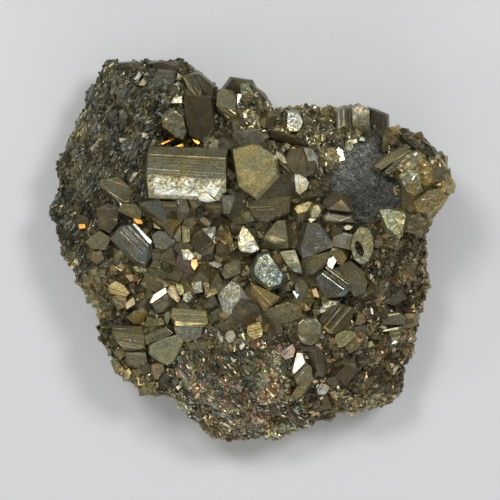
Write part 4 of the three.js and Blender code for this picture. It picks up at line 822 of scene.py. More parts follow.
def make_piece(name, part, material):
    """A Blender object from a part in millimetres, riding on the specimen's body."""
    mesh = bpy.data.meshes.new(name)
    mesh.vertices.add(len(part.points))
    mesh.vertices.foreach_set("co", (part.points * UNIT).astype(np.float32).ravel())
    mesh.loops.add(len(part.corners))
    mesh.loops.foreach_set("vertex_index", part.corners.astype(np.int32))
    mesh.polygons.add(len(part.counts))
    starts = np.concatenate([[0], np.cumsum(part.counts)[:-1]]).astype(np.int32)
    mesh.polygons.foreach_set("loop_start", starts)
    mesh.update(calc_edges=True)
    mesh.shade_flat()
    look = mesh.attributes.new("look", "FLOAT_COLOR", "FACE")
    look.data.foreach_set("color", part.looks.astype(np.float32).ravel())
    rib = mesh.attributes.new("rib", "FLOAT_VECTOR", "CORNER")
    rib.data.foreach_set("vector", part.ribs.astype(np.float32).ravel())
    level = mesh.attributes.new("level", "FLOAT", "FACE")
    level.data.foreach_set("value", part.levels.astype(np.float32))
    mesh.materials.append(material)
    piece = bpy.data.objects.new(name, mesh)
    bpy.context.scene.collection.objects.link(piece)
    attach(piece, BODY)
    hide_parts(NODE)
    return piece


# ---------------------------------------------------------------- crystal forms

TOUCH = 1e-5


def form_planes(corner, edge):
    planes = []
    for a in (-1, 1):
        planes += [(a, 0, 0, 1), (0, a, 0, 1), (0, 0, a, 1)]
        for b in (-1, 1):
            if edge < UNCUT:
                planes += [(2 * a, b, 0, edge), (0, 2 * a, b, edge), (b, 0, 2 * a, edge)]
            for c in (-1, 1):
                if corner < UNCUT:
                    planes.append((a, b, c, corner))
    planes = np.array(planes, float)
    return planes / np.linalg.norm(planes[:, :3], axis=1)[:, None]


@lru_cache(maxsize=None)
def crystal_form(corner, edge):
    """Corners and faces of a cube cut by octahedron and pyritohedron faces."""
    planes = form_planes(corner, edge)
    points = []
    for trio in combinations(planes, 3):
        trio = np.array(trio)
        if abs(np.linalg.det(trio[:, :3])) < TOUCH:
            continue
        point = np.linalg.solve(trio[:, :3], trio[:, 3])
        if np.any(planes[:, :3] @ point > planes[:, 3] + TOUCH):
            continue
        if all(np.linalg.norm(point - other) > TOUCH for other in points):
            points.append(point)
    points = np.array(points)
    faces = [face_corners(plane, points) for plane in planes]
    return points, [face for face in faces if len(face) > 2]


def face_corners(plane, points):
    normal = plane[:3]
    on_face = [i for i, p in enumerate(points) if abs(normal @ p - plane[3]) < TOUCH]
    if len(on_face) < 3:
        return []
    centre = points[on_face].mean(axis=0)
    across = points[on_face[0]] - centre
    up = np.cross(normal, across)
    arms = {i: points[i] - centre for i in on_face}
    length = np.linalg.norm(up) / np.linalg.norm(across)
    return sorted(on_face, key=lambda i: math.atan2(arms[i] @ up / length, arms[i] @ across))


# ---------------------------------------------------------------- the main crystals' shapes


def gem_points(gem):
    """The corners of a crystal and, below them, the corners of its root in the matrix."""
    top = np.array(gem.corners, float)
    middle = top[:, :2].mean(axis=0)
    level = gem.level or float(top_height(*middle))
    top[:, 2] += level
    arms = top[:, :2] - middle
    lengths = np.linalg.norm(arms, axis=1)[:, None]
    root = top.copy()
    root[:, :2] = middle + arms * (1 + ROOT_SPREAD / lengths)
    root[:, 2] = level - GEM_ROOT
    return np.concatenate([top, root])


def film_and_shade_foot(gem):
    """Height of a crystal's foot, where the brown film and painted shade begin; the knob stands free,
    so none goes on it.
    """
    middle = np.array(gem.corners, float)[:, :2].mean(axis=0)
    return BARE if gem.level else float(top_height(*middle))


def along_order(place):
    return round(place.dot(ORDER), 4)


def put_in_order(bm):
    """Sorts corners, edges and faces by place, so that the random draws repeat from run to run."""
    bm.verts.sort(key=lambda v: along_order(v.co))
    bm.edges.sort(key=lambda e: along_order(e.verts[0].co + e.verts[1].co))
    bm.faces.sort(key=lambda f: along_order(f.calc_center_median()))
    bm.verts.index_update()


def hull_mesh(points):
    """The convex hull of some points, with nearly flat neighbours joined."""
    bm = bmesh.new()
    verts = [bm.verts.new(p) for p in points]
    bmesh.ops.convex_hull(bm, input=verts, use_existing_faces=False)
    loose = [v for v in bm.verts if not v.link_faces]
    bmesh.ops.delete(bm, geom=loose, context="VERTS")
    bmesh.ops.dissolve_limit(bm, angle_limit=FLAT_ENOUGH, verts=bm.verts[:], edges=bm.edges[:])
    bmesh.ops.recalc_face_normals(bm, faces=bm.faces[:])
    bm.normal_update()
    put_in_order(bm)
    return bm


@lru_cache(maxsize=None)
def gem_planes(index):
    """Planes of a main crystal's faces, as normals and offsets."""
    bm = hull_mesh(gem_points(GEMS[index]))
    normals = np.array([f.normal for f in bm.faces])
    offsets = np.array([f.normal.dot(f.calc_center_median()) for f in bm.faces])
    bm.free()
    return normals, offsets


def face_group(bm, tag, mark):
    """Faces, edges and corners of one side."""
    put_in_order(bm)
    faces = [f for f in bm.faces if f[tag] == mark]
    edges = [e for e in bm.edges if any(f[tag] == mark for f in e.link_faces)]
    verts = [v for v in bm.verts if any(f[tag] == mark for f in v.link_faces)]
    return faces, edges, verts


def cut_face(bm, tag, mark, across, lines):
    """Cuts one side of a crystal along parallel lines, given by their reach along `across`."""
    for line in lines:
        faces, edges, verts = face_group(bm, tag, mark)
        bmesh.ops.bisect_plane(
            bm, geom=verts + edges + faces, dist=1e-4, plane_co=across * line, plane_no=across,
        )


def reach_of(bm, tag, mark, across):
    _, _, verts = face_group(bm, tag, mark)
    reach = [v.co.dot(across) for v in verts]
    return min(reach), max(reach)


def rib_side(bm, tag, mark, normal, texture, rng):
    """Turns a side of a crystal into treads with narrow, sloping risers between them."""
    b = math.radians(texture.lines)
    along = Vector((math.cos(b), math.sin(b), 0))
    across = normal.cross(along).normalized()
    low, high = reach_of(bm, tag, mark, across)
    pitch = (high - low) / (texture.count + 1)
    strays = rng.uniform(-RIB_WANDER, RIB_WANDER, texture.count)
    middles = low + pitch * (np.arange(1, texture.count + 1) + strays)
    widths = np.minimum(rng.uniform(*RISER, texture.count), pitch * RISER_SHARE)
    lines = np.stack([middles - widths / 2, middles + widths / 2], -1).ravel()
    cut_face(bm, tag, mark, across, lines)
    levels = rng.uniform(0, texture.depth, texture.count + 1)
    sinks = np.stack([levels[:-1], levels[1:]], -1).ravel()
    _, _, verts = face_group(bm, tag, mark)
    for vert in verts:
        vert.co -= normal * float(np.interp(vert.co.dot(across), lines, sinks))


def mottle_side(bm, tag, mark, normal, texture, rng):
    """Breaks a side of a crystal into small facets that dip different ways."""
    first = normal.orthogonal().normalized()
    turn = Quaternion(normal, rng.uniform(0, math.pi))
    for across in (turn @ first, turn @ normal.cross(first)):
        low, high = reach_of(bm, tag, mark, across)
        count = max(2, int((high - low) / texture.cell))
        lines = np.linspace(low, high, count + 1)[1:-1]
        strays = rng.uniform(-CUT_WANDER, CUT_WANDER, count - 1) * texture.cell
        cut_face(bm, tag, mark, across, lines + strays)
    _, _, verts = face_group(bm, tag, mark)
    for vert in verts:
        vert.co -= normal * float(rng.uniform(0, texture.depth))


def nearest_side(bm, tag, texture):
    """The mark and the direction of the side that a texture is meant for."""
    aim = Vector(direction(*texture.aim))
    sides = {}
    for face in bm.faces:
        if face[tag] and face.normal.z > 0.1:
            sides.setdefault(face[tag], face)
    mark = max(sides, key=lambda m: sides[m].normal.dot(aim))
    return mark, sides[mark].normal.copy()


def gem_part(gem, points, rng, textured=True):
    """A main crystal, or a growth plate on it, with bevelled edges and textured faces."""
    bm = hull_mesh(points)
    tag = bm.faces.layers.int.new("side")
    for mark, face in enumerate(bm.faces, start=1):
        face[tag] = mark
    edges = [e for e in bm.edges if e.calc_length() > BEVELLED_EDGE]
    made = bmesh.ops.bevel(
        bm, geom=edges, offset=BEVEL, segments=1, affect="EDGES", clamp_overlap=True,
    )
    for face in made["faces"]:
        face[tag] = 0
    put_in_order(bm)
    bm.normal_update()
    mottled = set()
    for texture in gem.textures if textured else ():
        mark, normal = nearest_side(bm, tag, texture)
        if texture.kind == "ribs":
            rib_side(bm, tag, mark, normal, texture, rng)
        else:
            mottle_side(bm, tag, mark, normal, texture, rng)
            mottled.add(mark)
        bm.normal_update()
    part = bmesh_part(bm, tag, gem.finish, mottled, film_and_shade_foot(gem), rng)
    bm.free()
    return part


def bmesh_part(bm, tag, finish, mottled, level, rng):
    colour, roughness = FINISHES[finish]
    put_in_order(bm)
    number = rng.uniform(0, LINE_OFFSET)
    corners, counts, looks, rib_places = [], [], [], []
    side_looks = {}
    for face in bm.faces:
        mark = face[tag]
        if mark not in side_looks or mark in mottled:
            side_looks[mark] = face_look(colour, roughness, rng)
        looks.append(side_looks[mark])
        counts.append(len(face.verts))
        across, along = side_frame(face.normal)
        first = min(range(len(face.verts)), key=lambda k: face.verts[k].index)
        for vert in face.verts[first:] + face.verts[:first]:
            corners.append(vert.index)
            rib_places.append((across.dot(vert.co), along.dot(vert.co), number + mark))
    return Part(
        np.array([v.co for v in bm.verts]), np.array(corners), np.array(counts),
        np.array(looks), np.array(rib_places), np.full(len(counts), level),
    )


def side_frame(normal):
    """Two directions in a face: down its slope and level along it."""
    level = Vector((-normal.y, normal.x, 0))
    if level.length < 0.05:
        level = Vector((1, 0, 0))
    level.normalize()
    return normal.cross(level).normalized(), level


def face_look(colour, roughness, rng):
    """Base colour and roughness of one face, a little off its crystal's own."""
    shade = rng.uniform(*FACE_SHADE)
    return [*(min(1.0, c * shade) for c in colour), roughness * rng.uniform(*FACE_ROUGHNESS)]


def growth_plates(gem, points, rng):
    """Thin plates on the largest upper face, with sides parallel to the crystal's own."""
    bm = hull_mesh(points)
    upper = [f for f in bm.faces if f.normal.z > PLATE_SLOPE]
    face = max(upper, key=lambda f: f.calc_area())
    normal = np.array(face.normal)
    corners = np.array([v.co for v in face.verts])
    area = face.calc_area()
    bm.free()
    if area < PLATE_AREA:
        return []
    parts = []
    for _ in range(int(rng.integers(*PLATES))):
        anchor = rng.dirichlet([PLATE_SPREAD] * len(corners)) @ corners
        plate = (points - anchor) * rng.uniform(*PLATE_SIZE) + anchor
        plate = plate + normal * rng.uniform(*PLATE_RISE)
        parts.append(gem_part(gem, plate, rng, textured=False))
    return parts


def main_groups():
    """The main crystals with their growth plates, as one part for each piece."""
    rng = np.random.default_rng(GEM_SEED)
    groups = {}
    for gem in GEMS:
        parts = groups.setdefault(gem.piece, [])
        points = gem_points(gem)
        parts.append(gem_part(gem, points, rng))
        if not gem.textures:
            parts += growth_plates(gem, points, rng)
    return {name: join_parts(parts) for name, parts in groups.items()}


# ---------------------------------------------------------------- many small crystals at once

UNCUT = 3                               # a corner or edge cut this far out leaves the cube whole
SMALL_FORMS = [(UNCUT, UNCUT), (2.5, UNCUT), (2.0, UNCUT), (UNCUT, 2.4), (1.7, UNCUT)]
GRAIN_FORMS = [(UNCUT, UNCUT), (2.0, UNCUT), (1.0, UNCUT)]
TINTS = 4                               # colours that a filling crystal mixes
FILLER_CALM = 0.85                      # share of the crystals turned away from the lamps
FILLER_FOOT = 1.1                       # how far under the matrix their brown film and painted shade begin
SMALL_SHADE = (0.85, 1.15)              # brightness of a small crystal's face, times its own
LAMP_FACES = [(16, 38), (15, 128), (37, 268)]   # tilt and bearing of faces that mirror a lamp
MIRROR_POWER = 60


def random_turns(count, rng):
    """Random rotation matrices, spread evenly over all turns."""
    q = rng.normal(size=(count, 4))
    q /= np.linalg.norm(q, axis=1)[:, None]
    w, x, y, z = q.T
    return np.stack([
        np.stack([1 - 2 * (y * y + z * z), 2 * (x * y - z * w), 2 * (x * z + y * w)], -1),
        np.stack([2 * (x * y + z * w), 1 - 2 * (x * x + z * z), 2 * (y * z - x * w)], -1),
        np.stack([2 * (x * z - y * w), 2 * (y * z + x * w), 1 - 2 * (x * x + y * y)], -1),
    ], 1)


def crystal_cloud(form, centres, halves, turns, colours, roughness, levels, rng):
    """Copies of one form, each with its own place, half sizes, turn and finish."""
    points, faces = crystal_form(*form)
    count = len(centres)
    placed = points[None] * halves[:, None, :]
    placed = np.einsum("nij,nkj->nki", turns, placed) + centres[:, None, :]
    one = np.concatenate([np.array(f) for f in faces])
    sizes = np.array([len(f) for f in faces])
    corners = (one[None] + (np.arange(count) * len(points))[:, None]).ravel()
    normals = [face_normal(points, f) for f in faces]
    ribs = []
    for face, normal in zip(faces, normals):
        across, along = rib_frame(normal)
        at = points[face][None] * halves[:, None, :]
        ribs.append(np.stack([at @ across, at @ along], -1))
    ribs = np.concatenate(ribs, axis=1)
    number = np.broadcast_to(rng.uniform(0, LINE_OFFSET, count)[:, None, None], (*ribs.shape[:2], 1))
    shade = rng.uniform(*SMALL_SHADE, (count, len(faces), 1))
    looks = np.concatenate([
        np.clip(colours[:, None, :] * shade, 0, 1),
        np.broadcast_to(roughness[:, None, None], (count, len(faces), 1)),
    ], -1)
    return Part(
        placed.reshape(-1, 3), corners, np.tile(sizes, count),
        looks.reshape(-1, 4), np.concatenate([ribs, number], -1).reshape(-1, 3),
        np.repeat(levels, len(faces)),
    )


def face_normal(points, face):
    a, b, c = (points[i] for i in face[:3])
    normal = np.cross(b - a, c - b)
    return normal / np.linalg.norm(normal)


def mixed_cloud(forms, centres, halves, turns, colours, roughness, levels, rng):
    """A cloud of crystals that takes its forms at random."""
    kinds = rng.integers(0, len(forms), len(centres))
    parts = []
    for kind, form in enumerate(forms):
        pick = kinds == kind
        if pick.any():
            parts.append(crystal_cloud(
                form, centres[pick], halves[pick], turns[pick],
                colours[pick], roughness[pick], levels[pick], rng,
            ))
    return join_parts(parts)


def calmed(turns, share, rng):
    """Turns a share of the crystals about the vertical until no face catches a lamp."""
    faces = np.array([p[:3] for p in form_planes(1, UNCUT)])
    lamps = np.array([direction(*face) for face in LAMP_FACES])
    best = turns.copy()
    least = np.full(len(turns), np.inf)
    for quarter in range(4):
        angle = quarter * math.pi / 2
        spin = np.array([
            (math.cos(angle), -math.sin(angle), 0), (math.sin(angle), math.cos(angle), 0), (0, 0, 1),
        ])
        turned = np.einsum("ij,njk->nik", spin, turns)
        normals = np.einsum("nij,kj->nki", turned, faces)
        gleam = (np.maximum(normals @ lamps.T, 0) ** MIRROR_POWER).sum(axis=(1, 2))
        better = gleam < least
        best[better] = turned[better]
        least[better] = gleam[better]
    calm = rng.random(len(turns)) < share
    return np.where(calm[:, None, None], best, turns)


def depth_in_crystals(points):
    """How deep each point lies inside the deepest main crystal, in millimetres."""
    deepest = np.full(len(points), -np.inf)
    for index in range(len(GEMS)):
        normals, offsets = gem_planes(index)
        deepest = np.maximum(deepest, np.min(offsets - points @ normals.T, axis=1))
    return deepest


def rib_frame(normal):
    """Directions across and along the growth lines of a small crystal's face."""
    along = np.eye(3)[(int(np.argmax(np.abs(normal))) + 1) % 3]
    along = along - normal * (along @ normal)
    along = along / np.linalg.norm(along)
    return np.cross(normal, along), along


# ---------------------------------------------------------------- the matrix


def matrix_profile():
    """Rings from the middle of the top, over the rim and down to the middle of the base."""
    flank_shares = [share for share, _ in FLANK_PROFILE]
    flank_heights = [height for _, height in FLANK_PROFILE]
    foot = flank_shares[-1]
    rings = [("top", share, 1.0) for share in np.linspace(0, 1, TOP_RINGS + 1)[1:-1]]
    for step in np.linspace(0, 1, FLANK_RINGS):
        at = step * (len(FLANK_PROFILE) - 1)
        order = range(len(FLANK_PROFILE))
        rings.append((
            "flank", np.interp(at, order, flank_shares), np.interp(at, order, flank_heights),
        ))
    rings += [("base", share, 0.0) for share in np.linspace(foot, 0, BASE_RINGS + 1)[1:-1]]
    return rings


def matrix_points():
    angle = -math.pi + 2 * math.pi * np.arange(SECTORS) / SECTORS
    radius = rim_radius(angle)
    foot = FLANK_PROFILE[-1][0]
    rows = []
    for zone, share, height in matrix_profile():
        x = radius * share * np.cos(angle)
        y = radius * share * np.sin(angle)
        if zone == "top":
            z = top_height(x, y)
        elif zone == "flank":
            z = rim_height(angle) * height
        else:
            z = np.full(SECTORS, BASE_HOLLOW * (1 - (share / foot) ** 2))
        rows.append(np.stack([x, y, z], -1))
    middle = np.zeros(1)
    top = [[0, 0, float(top_height(middle, middle)[0])]]
    return np.concatenate([*rows, top, [[0, 0, BASE_HOLLOW]]]), len(rows)


def matrix_faces(ring_count):
    i = np.arange(SECTORS)
    after = (i + 1) % SECTORS
    top = ring_count * SECTORS
    bottom = top + 1
    last = (ring_count - 1) * SECTORS
    caps = [np.stack([np.full(SECTORS, top), i, after], -1),
            np.stack([np.full(SECTORS, bottom), last + after, last + i], -1)]
    quads = []
    for ring in range(ring_count - 1):
        inner = ring * SECTORS
        outer = inner + SECTORS
        quads.append(np.stack([inner + i, outer + i, outer + after, inner + after], -1))
    return np.concatenate(caps), np.concatenate(quads)


def point_normals(points, quads):
    """Normals of a quad mesh's points, from the quads round each."""
    a, b, c, d = (points[quads[:, k]] for k in range(4))
    quad_normals = np.cross(c - a, d - b)
    normals = np.zeros_like(points)
    for k in range(4):
        np.add.at(normals, quads[:, k], quad_normals)
    length = np.linalg.norm(normals, axis=1)
    lone = length < 1e-9
    normals[lone] = (0, 0, 1)
    length[lone] = 1
    return normals / length[:, None]


def rough_matrix():
    """The matrix with its broken, granular surface, and its normals and faces."""
    points, ring_count = matrix_points()
    caps, quads = matrix_faces(ring_count)
    normals = point_normals(points, quads)
    on_base = (points[:, 2] < BASE_HOLLOW + 0.01) & (normals[:, 2] < -0.9)
    rough = wave_sum(points, ROCK_WAVES, ROCK_SEED)
    points = points + normals * np.where(on_base, 0, rough)[:, None]
    dents = np.abs(wave_sum(points, BASE_WAVES, BASE_SEED))
    points[:, 2] = np.where(on_base, points[:, 2] + dents * BASE_DENT, points[:, 2])
    points[:, 2] = np.maximum(points[:, 2], 0)
    return points, point_normals(points, quads), caps, quads


def matrix_part(points, caps, quads):
    corners = np.concatenate([caps.ravel(), quads.ravel()])
    counts = np.concatenate([np.full(len(caps), 3), np.full(len(quads), 4)])
    looks = np.tile(ROCK_LOOK, (len(counts), 1))
    return Part(points, corners, counts, looks, points[corners], np.zeros(len(counts)))


# ---------------------------------------------------------------- the drusy crust

# A zone of crust: name, its middle, its spread, and what grows there.
Zone = namedtuple(
    "Zone", "name x y spread tints least most rough streak streak_bearing thin fillers calm"
)
BRONZE = (0.27, 0.22, 0.14)
RUST = (0.32, 0.235, 0.155)
ROSE = (0.60, 0.34, 0.28)
BRASS = (0.44, 0.36, 0.19)
PALE_BRASS = (0.56, 0.51, 0.35)
OLIVE = (0.29, 0.26, 0.16)
SEA_GREEN = (0.28, 0.40, 0.29)
SLATE = (0.17, 0.18, 0.165)
DARK = (0.14, 0.13, 0.09)
STEEL = (0.27, 0.28, 0.25)

ZONES = [
    Zone("druse_north_west", -22, 32, 10, (DARK, DARK, OLIVE, STEEL),
         0.16, 0.55, 0.28, 2.0, 62, 0.1, 0.2, 0.3),
    Zone("druse_west", -35, 14, 11, (DARK, DARK, OLIVE, STEEL),
         0.14, 0.44, 0.3, 2.1, 58, 0.1, 0.08, 0.4),
    Zone("druse_north", 12, 26, 9, (BRASS, PALE_BRASS, PALE_BRASS, DARK),
         0.16, 0.62, 0.2, 1.9, 90, 0.0, 0.05, 0.0),
    Zone("druse_east", 33, 0, 8, (OLIVE, BRONZE, RUST, DARK),
         0.22, 0.8, 0.26, 1.6, 70, 0.0, 0.35, 0.2),
    Zone("druse_south_east", 24, -24, 11, (OLIVE, DARK, RUST, BRONZE),
         0.18, 0.7, 0.26, 1.5, 20, 0.0, 0.35, 0.2),
    Zone("druse_south", -4, -28, 12, (DARK, ROSE, PALE_BRASS, SEA_GREEN, BRONZE),
         0.12, 0.5, 0.2, 1.9, 130, 0.0, 0.05, 0.1),
    Zone("druse_south_west", -24, -18, 10, (OLIVE, BRONZE, BRASS, DARK),
         0.22, 0.8, 0.26, 1.5, 120, 0.0, 0.6, 0.3),
    Zone("druse_middle", -2, 0, 14, (OLIVE, BRONZE, BRASS, DARK),
         0.3, 0.9, 0.3, 1.2, 0, 0.75, 1.0, 0.6),
    Zone("druse_grey", 24, 14, 7.5, (SLATE, STEEL, SLATE, DARK),
         0.07, 0.16, 0.5, 1.2, 45, 0.25, 0.0, 0.3),
]
KNOB_ZONE = Zone("druse_knob", 34, 14, 6, (OLIVE, BRONZE, BRASS, DARK),
                 0.35, 1.3, 0.3, 1.2, 90, 0.0, 0.0, 0.4)
KNOB_GRAINS = 650
KNOB_STEEP = 0.3                        # the knob's sides are the faces that look up less
ZONE_SEED = 200
ZONE_CELL = 4.0                         # size of the waves in the zones' borders
ZONE_WANDER = 0.25
GLEAM_CELL = 2.6                        # size of the patches where the crust gleams
GLEAM_SEED = 90
GLEAM_CONTRAST = 1.2
GLEAM_SIZE = (0.8, 0.4)                 # size of a grain: outside those patches, and more inside
GLEAM_LIGHT = 0.75                      # how much brighter a grain is there
GLEAM_CALM = 0.5                        # how much less often a grain elsewhere mirrors a lamp
SMALL_BIAS = 2.2                        # above 1, most grains are near the smallest size
GRAIN_STRETCH = (0.75, 1.3)
GRAIN_LIGHT = (0.4, 1.2)
GRAIN_ROUGHNESS = (0.6, 1.5)
GRAIN_MIX = 0.5                         # below 1, a grain keeps close to one of its zone's tints
GRAIN_CLEARANCE = 1.05                  # least height over the floor, in half sizes
GRAIN_RISE = (-0.45, 0.25)              # of a grain's middle over the matrix, in grain sizes
LAID_DOWN = 0.85                        # how nearly the streaks lie along the surface
STREAK_WANDER = 14                      # spread of their bearings and dips, in degrees
STREAK_DIP = 20
STREAK_SHARE = 0.75                     # share of the grains in streaks, for each unit of streak
MOST_STREAKS = 0.9
BURIED = 0.5                            # grains this deep in a crystal are left out
UNDERSIDE = (1.6, -0.4)                 # and those below this height that look down this much


def sample_surface(points, normals, quads, count, rng):
    """Places spread evenly over the matrix, and the surface's direction at each."""
    a, b, c, d = (points[quads[:, k]] for k in range(4))
    area = np.linalg.norm(np.cross(c - a, d - b), axis=1)
    pick = rng.choice(len(quads), count, p=area / area.sum())
    u, v = rng.random((2, count, 1))
    place = (a[pick] * (1 - u) + b[pick] * u) * (1 - v) + (d[pick] * (1 - u) + c[pick] * u) * v
    return place, normals[quads[pick, 0]]


def nearest_zone(places):
    reach = [np.hypot(places[:, 0] - z.x, places[:, 1] - z.y) / z.spread for z in ZONES]
    wander = [
        ZONE_WANDER * lattice_noise(places, ZONE_CELL, ZONE_SEED + i) for i in range(len(ZONES))
    ]
    return np.argmin(np.array(reach) + np.array(wander), axis=0)


def streak_turns(turns, normals, bearing, share, rng):
    """Lays some crystals along the surface with their long axis in one bearing."""
    count = len(turns)
    angle = np.radians(bearing + rng.normal(0, STREAK_WANDER, count))
    dip = np.radians(rng.normal(0, STREAK_DIP, count))
    roll = rng.uniform(0, 2 * math.pi, count)
    along = np.stack([np.cos(angle) * np.cos(dip), np.sin(angle) * np.cos(dip), np.sin(dip)], -1)
    along -= LAID_DOWN * normals * (along * normals).sum(axis=1)[:, None]
    along /= np.linalg.norm(along, axis=1)[:, None]
    side = np.cross(along, (0, 0, 1))
    side /= np.linalg.norm(side, axis=1)[:, None]
    up = np.cross(side, along)
    second = side * np.cos(roll)[:, None] + up * np.sin(roll)[:, None]
    third = np.cross(along, second)
    aligned = np.stack([along, second, third], -1)
    return np.where((rng.random(count) < share)[:, None, None], aligned, turns)


def druse_part(zone, places, normals, rng):
    """The crust of one zone: larger and brighter grains in some patches than in others."""
    count = len(places)
    noise = lattice_noise(places, GLEAM_CELL, GLEAM_SEED)
    gleam = np.clip(0.5 + GLEAM_CONTRAST * noise, 0, 1)
    size = zone.least + (zone.most - zone.least) * rng.random(count) ** SMALL_BIAS
    size *= GLEAM_SIZE[0] + GLEAM_SIZE[1] * gleam
    stretch = rng.uniform(*GRAIN_STRETCH, (count, 3))
    stretch *= zone.streak ** -0.5
    stretch[:, 0] *= zone.streak ** 1.5
    halves = size[:, None] * stretch
    centres = places + normals * (size * rng.uniform(*GRAIN_RISE, count))[:, None]
    keep = centres[:, 2] > halves.max(axis=1) * GRAIN_CLEARANCE
    share = min(MOST_STREAKS, (zone.streak - 1) * STREAK_SHARE)
    turns = calmed(random_turns(count, rng), zone.calm + GLEAM_CALM * (1 - gleam), rng)
    turns = streak_turns(turns, normals, zone.streak_bearing, share, rng)
    tints = np.array(zone.tints)
    mix = rng.dirichlet((GRAIN_MIX,) * len(tints), count)
    light = rng.uniform(*GRAIN_LIGHT, (count, 1)) + GLEAM_LIGHT * gleam[:, None] ** 2
    colours = mix @ tints * light
    roughness = zone.rough * rng.uniform(*GRAIN_ROUGHNESS, count)
    return mixed_cloud(
        GRAIN_FORMS, centres[keep], halves[keep], turns[keep], colours[keep],
        roughness[keep], np.full(keep.sum(), BARE), rng,
    )


def knob_places(count, rng):
    """Places on the knob's free sides, and the sides' directions."""
    index = [g.name for g in GEMS].index("knob")
    bm = hull_mesh(gem_points(GEMS[index]))
    bmesh.ops.triangulate(bm, faces=bm.faces[:])
    sides = [f for f in bm.faces if f.normal.z < KNOB_STEEP]
    corners = np.array([[v.co for v in f.verts] for f in sides])
    normals = np.array([f.normal for f in sides])
    area = np.array([f.calc_area() for f in sides])
    bm.free()
    pick = rng.choice(len(sides), count, p=area / area.sum())
    share = rng.dirichlet((1, 1, 1), count)
    return np.einsum("nk,nkc->nc", share, corners[pick]), normals[pick]


def druse_parts(points, normals, quads):
    """The crust of every zone and of the knob, by the names of their pieces."""
    rng = np.random.default_rng(DRUSE_SEED)
    tries = DRUSE_TRIES
    places, facing = sample_surface(points, normals, quads, tries, rng)
    buried = depth_in_crystals(places) > BURIED
    under = (places[:, 2] < UNDERSIDE[0]) & (facing[:, 2] < UNDERSIDE[1])
    zones = nearest_zone(places)
    thinned = rng.random(tries) < np.array([z.thin for z in ZONES])[zones]
    keep = ~buried & ~under & ~thinned
    parts = {}
    for i, zone in enumerate(ZONES):
        pick = keep & (zones == i)
        parts[zone.name] = druse_part(zone, places[pick], facing[pick], rng)
    places, facing = knob_places(KNOB_GRAINS, rng)
    parts[KNOB_ZONE.name] = druse_part(KNOB_ZONE, places, facing, rng)
    return parts


# ---------------------------------------------------------------- the filling crystals

# least and most half size, and how far they sink into the matrix, in half sizes
LARGE_SIZES = (2.0, 3.0, 0.5)
TOP_SIZES = (0.9, 1.8, 0.25)
FLANK_SIZES = (0.7, 1.4, 0.2)
FLANK_FROM = 0.2                        # lowest, as a share of the rim's height
FLANK_RADII = (0.89, 0.07)              # share of the rim's radius at the foot, and more above
FILLER_BURIED = 0.2
MIDDLE_ONLY = 0.9                       # large crystals need a zone this full of fillers
FILLER_BIAS = 1.3
FILLER_STRETCH = (0.8, 1.25)
FILLER_CLEARANCE = 1.5
FILLER_MIX = 0.8
FILLER_ROUGHNESS = (0.24, 0.4)


def spiral_places(count, turn):
    """Spots spread evenly over the top, in a sunflower spiral."""
    i = np.arange(count)
    angle = (i * GOLDEN_ANGLE + turn) % (2 * math.pi) - math.pi
    radius = rim_radius(angle) * FILLER_REACH * np.sqrt((i + 0.5) / count)
    x = radius * np.cos(angle)
    y = radius * np.sin(angle)
    return np.stack([x, y, top_height(x, y)], -1)


def flank_places(count, rng):
    angle = rng.uniform(-math.pi, math.pi, count)
    share = rng.uniform(FLANK_FROM, 1, count)
    radius = rim_radius(angle) * (FLANK_RADII[0] + FLANK_RADII[1] * share)
    return np.stack([
        radius * np.cos(angle), radius * np.sin(angle), rim_height(angle) * share,
    ], -1)


def filler_cloud(places, least, most, sink, rng):
    """Crystals of one size range, sunk into the matrix by a share of their size."""
    places = places[depth_in_crystals(places) < FILLER_BURIED]
    zones = nearest_zone(places)
    grows = np.array([z.fillers for z in ZONES])[zones]
    if least > LARGE:
        grows = grows > MIDDLE_ONLY
    grow = rng.random(len(places)) < grows
    places, zones = places[grow], zones[grow]
    count = len(places)
    size = least + (most - least) * rng.random(count) ** FILLER_BIAS
    halves = size[:, None] * rng.uniform(*FILLER_STRETCH, (count, 3))
    centres = places - (0, 0, 1) * (sink * size)[:, None]
    keep = centres[:, 2] > halves.max(axis=1) * FILLER_CLEARANCE
    tints = np.array([z.tints[:TINTS] for z in ZONES])[zones]
    mix = rng.dirichlet((FILLER_MIX,) * TINTS, count)
    colours = np.einsum("nk,nkc->nc", mix, tints)
    roughness = rng.uniform(*FILLER_ROUGHNESS, count)
    turns = calmed(random_turns(count, rng), FILLER_CALM, rng)
    return mixed_cloud(
        SMALL_FORMS, centres[keep], halves[keep], turns[keep], colours[keep],
        roughness[keep], places[keep, 2] - FILLER_FOOT, rng,
    )


def filler_part():
    rng = np.random.default_rng(FILLER_SEED)
    return join_parts([
        filler_cloud(spiral_places(LARGE_FILLERS, 0), *LARGE_SIZES, rng),
        filler_cloud(spiral_places(TOP_FILLERS, 1), *TOP_SIZES, rng),
        filler_cloud(flank_places(FLANK_FILLERS, rng), *FLANK_SIZES, rng),
    ])


# ---------------------------------------------------------------- finishes

MM_PER_METRE = 1 / UNIT
# noise that varies a finish: features per millimetre, detail, roughness
PATCHES = (0.55, 4.0, 0.6)
GRAIN = (3.2, 3.0, 0.65)
BLOOM = (0.32, 3.0, 0.6)
SWELL = (0.3, 1.0)
LINES = (1.0, 3.0, 0.6)
ROCK_PATCHES = (0.3, 5.0, 0.6)
ROCK_GRAIN = (2.4, 4.0, 0.7)
LINE_STRETCH = (5.0, 0.25, 3.0)         # across the growth lines, along them, between faces
SWELL_RELIEF = 0.3                      # of the gentle waves in the crystals' faces
STAIN_TINT = (0.52, 0.46, 0.36, 1)
WARM_BLOOM = (1.08, 1.02, 0.80, 1)
COOL_BLOOM = (0.90, 0.97, 1.03, 1)
METAL = 0.81                            # the rest is a thin, dull tarnish
FILM_AND_SHADE_COLOUR = (0.11, 0.088, 0.052, 1)   # painted shade in the gaps between crystals, laid on as a dark brown film
FILM_AND_SHADE_METAL = 0.3                        # how much less metallic the film and painted shade are
FILM_AND_SHADE_REACH = (0.2, 2.6)                 # height above a crystal's foot where it thins out
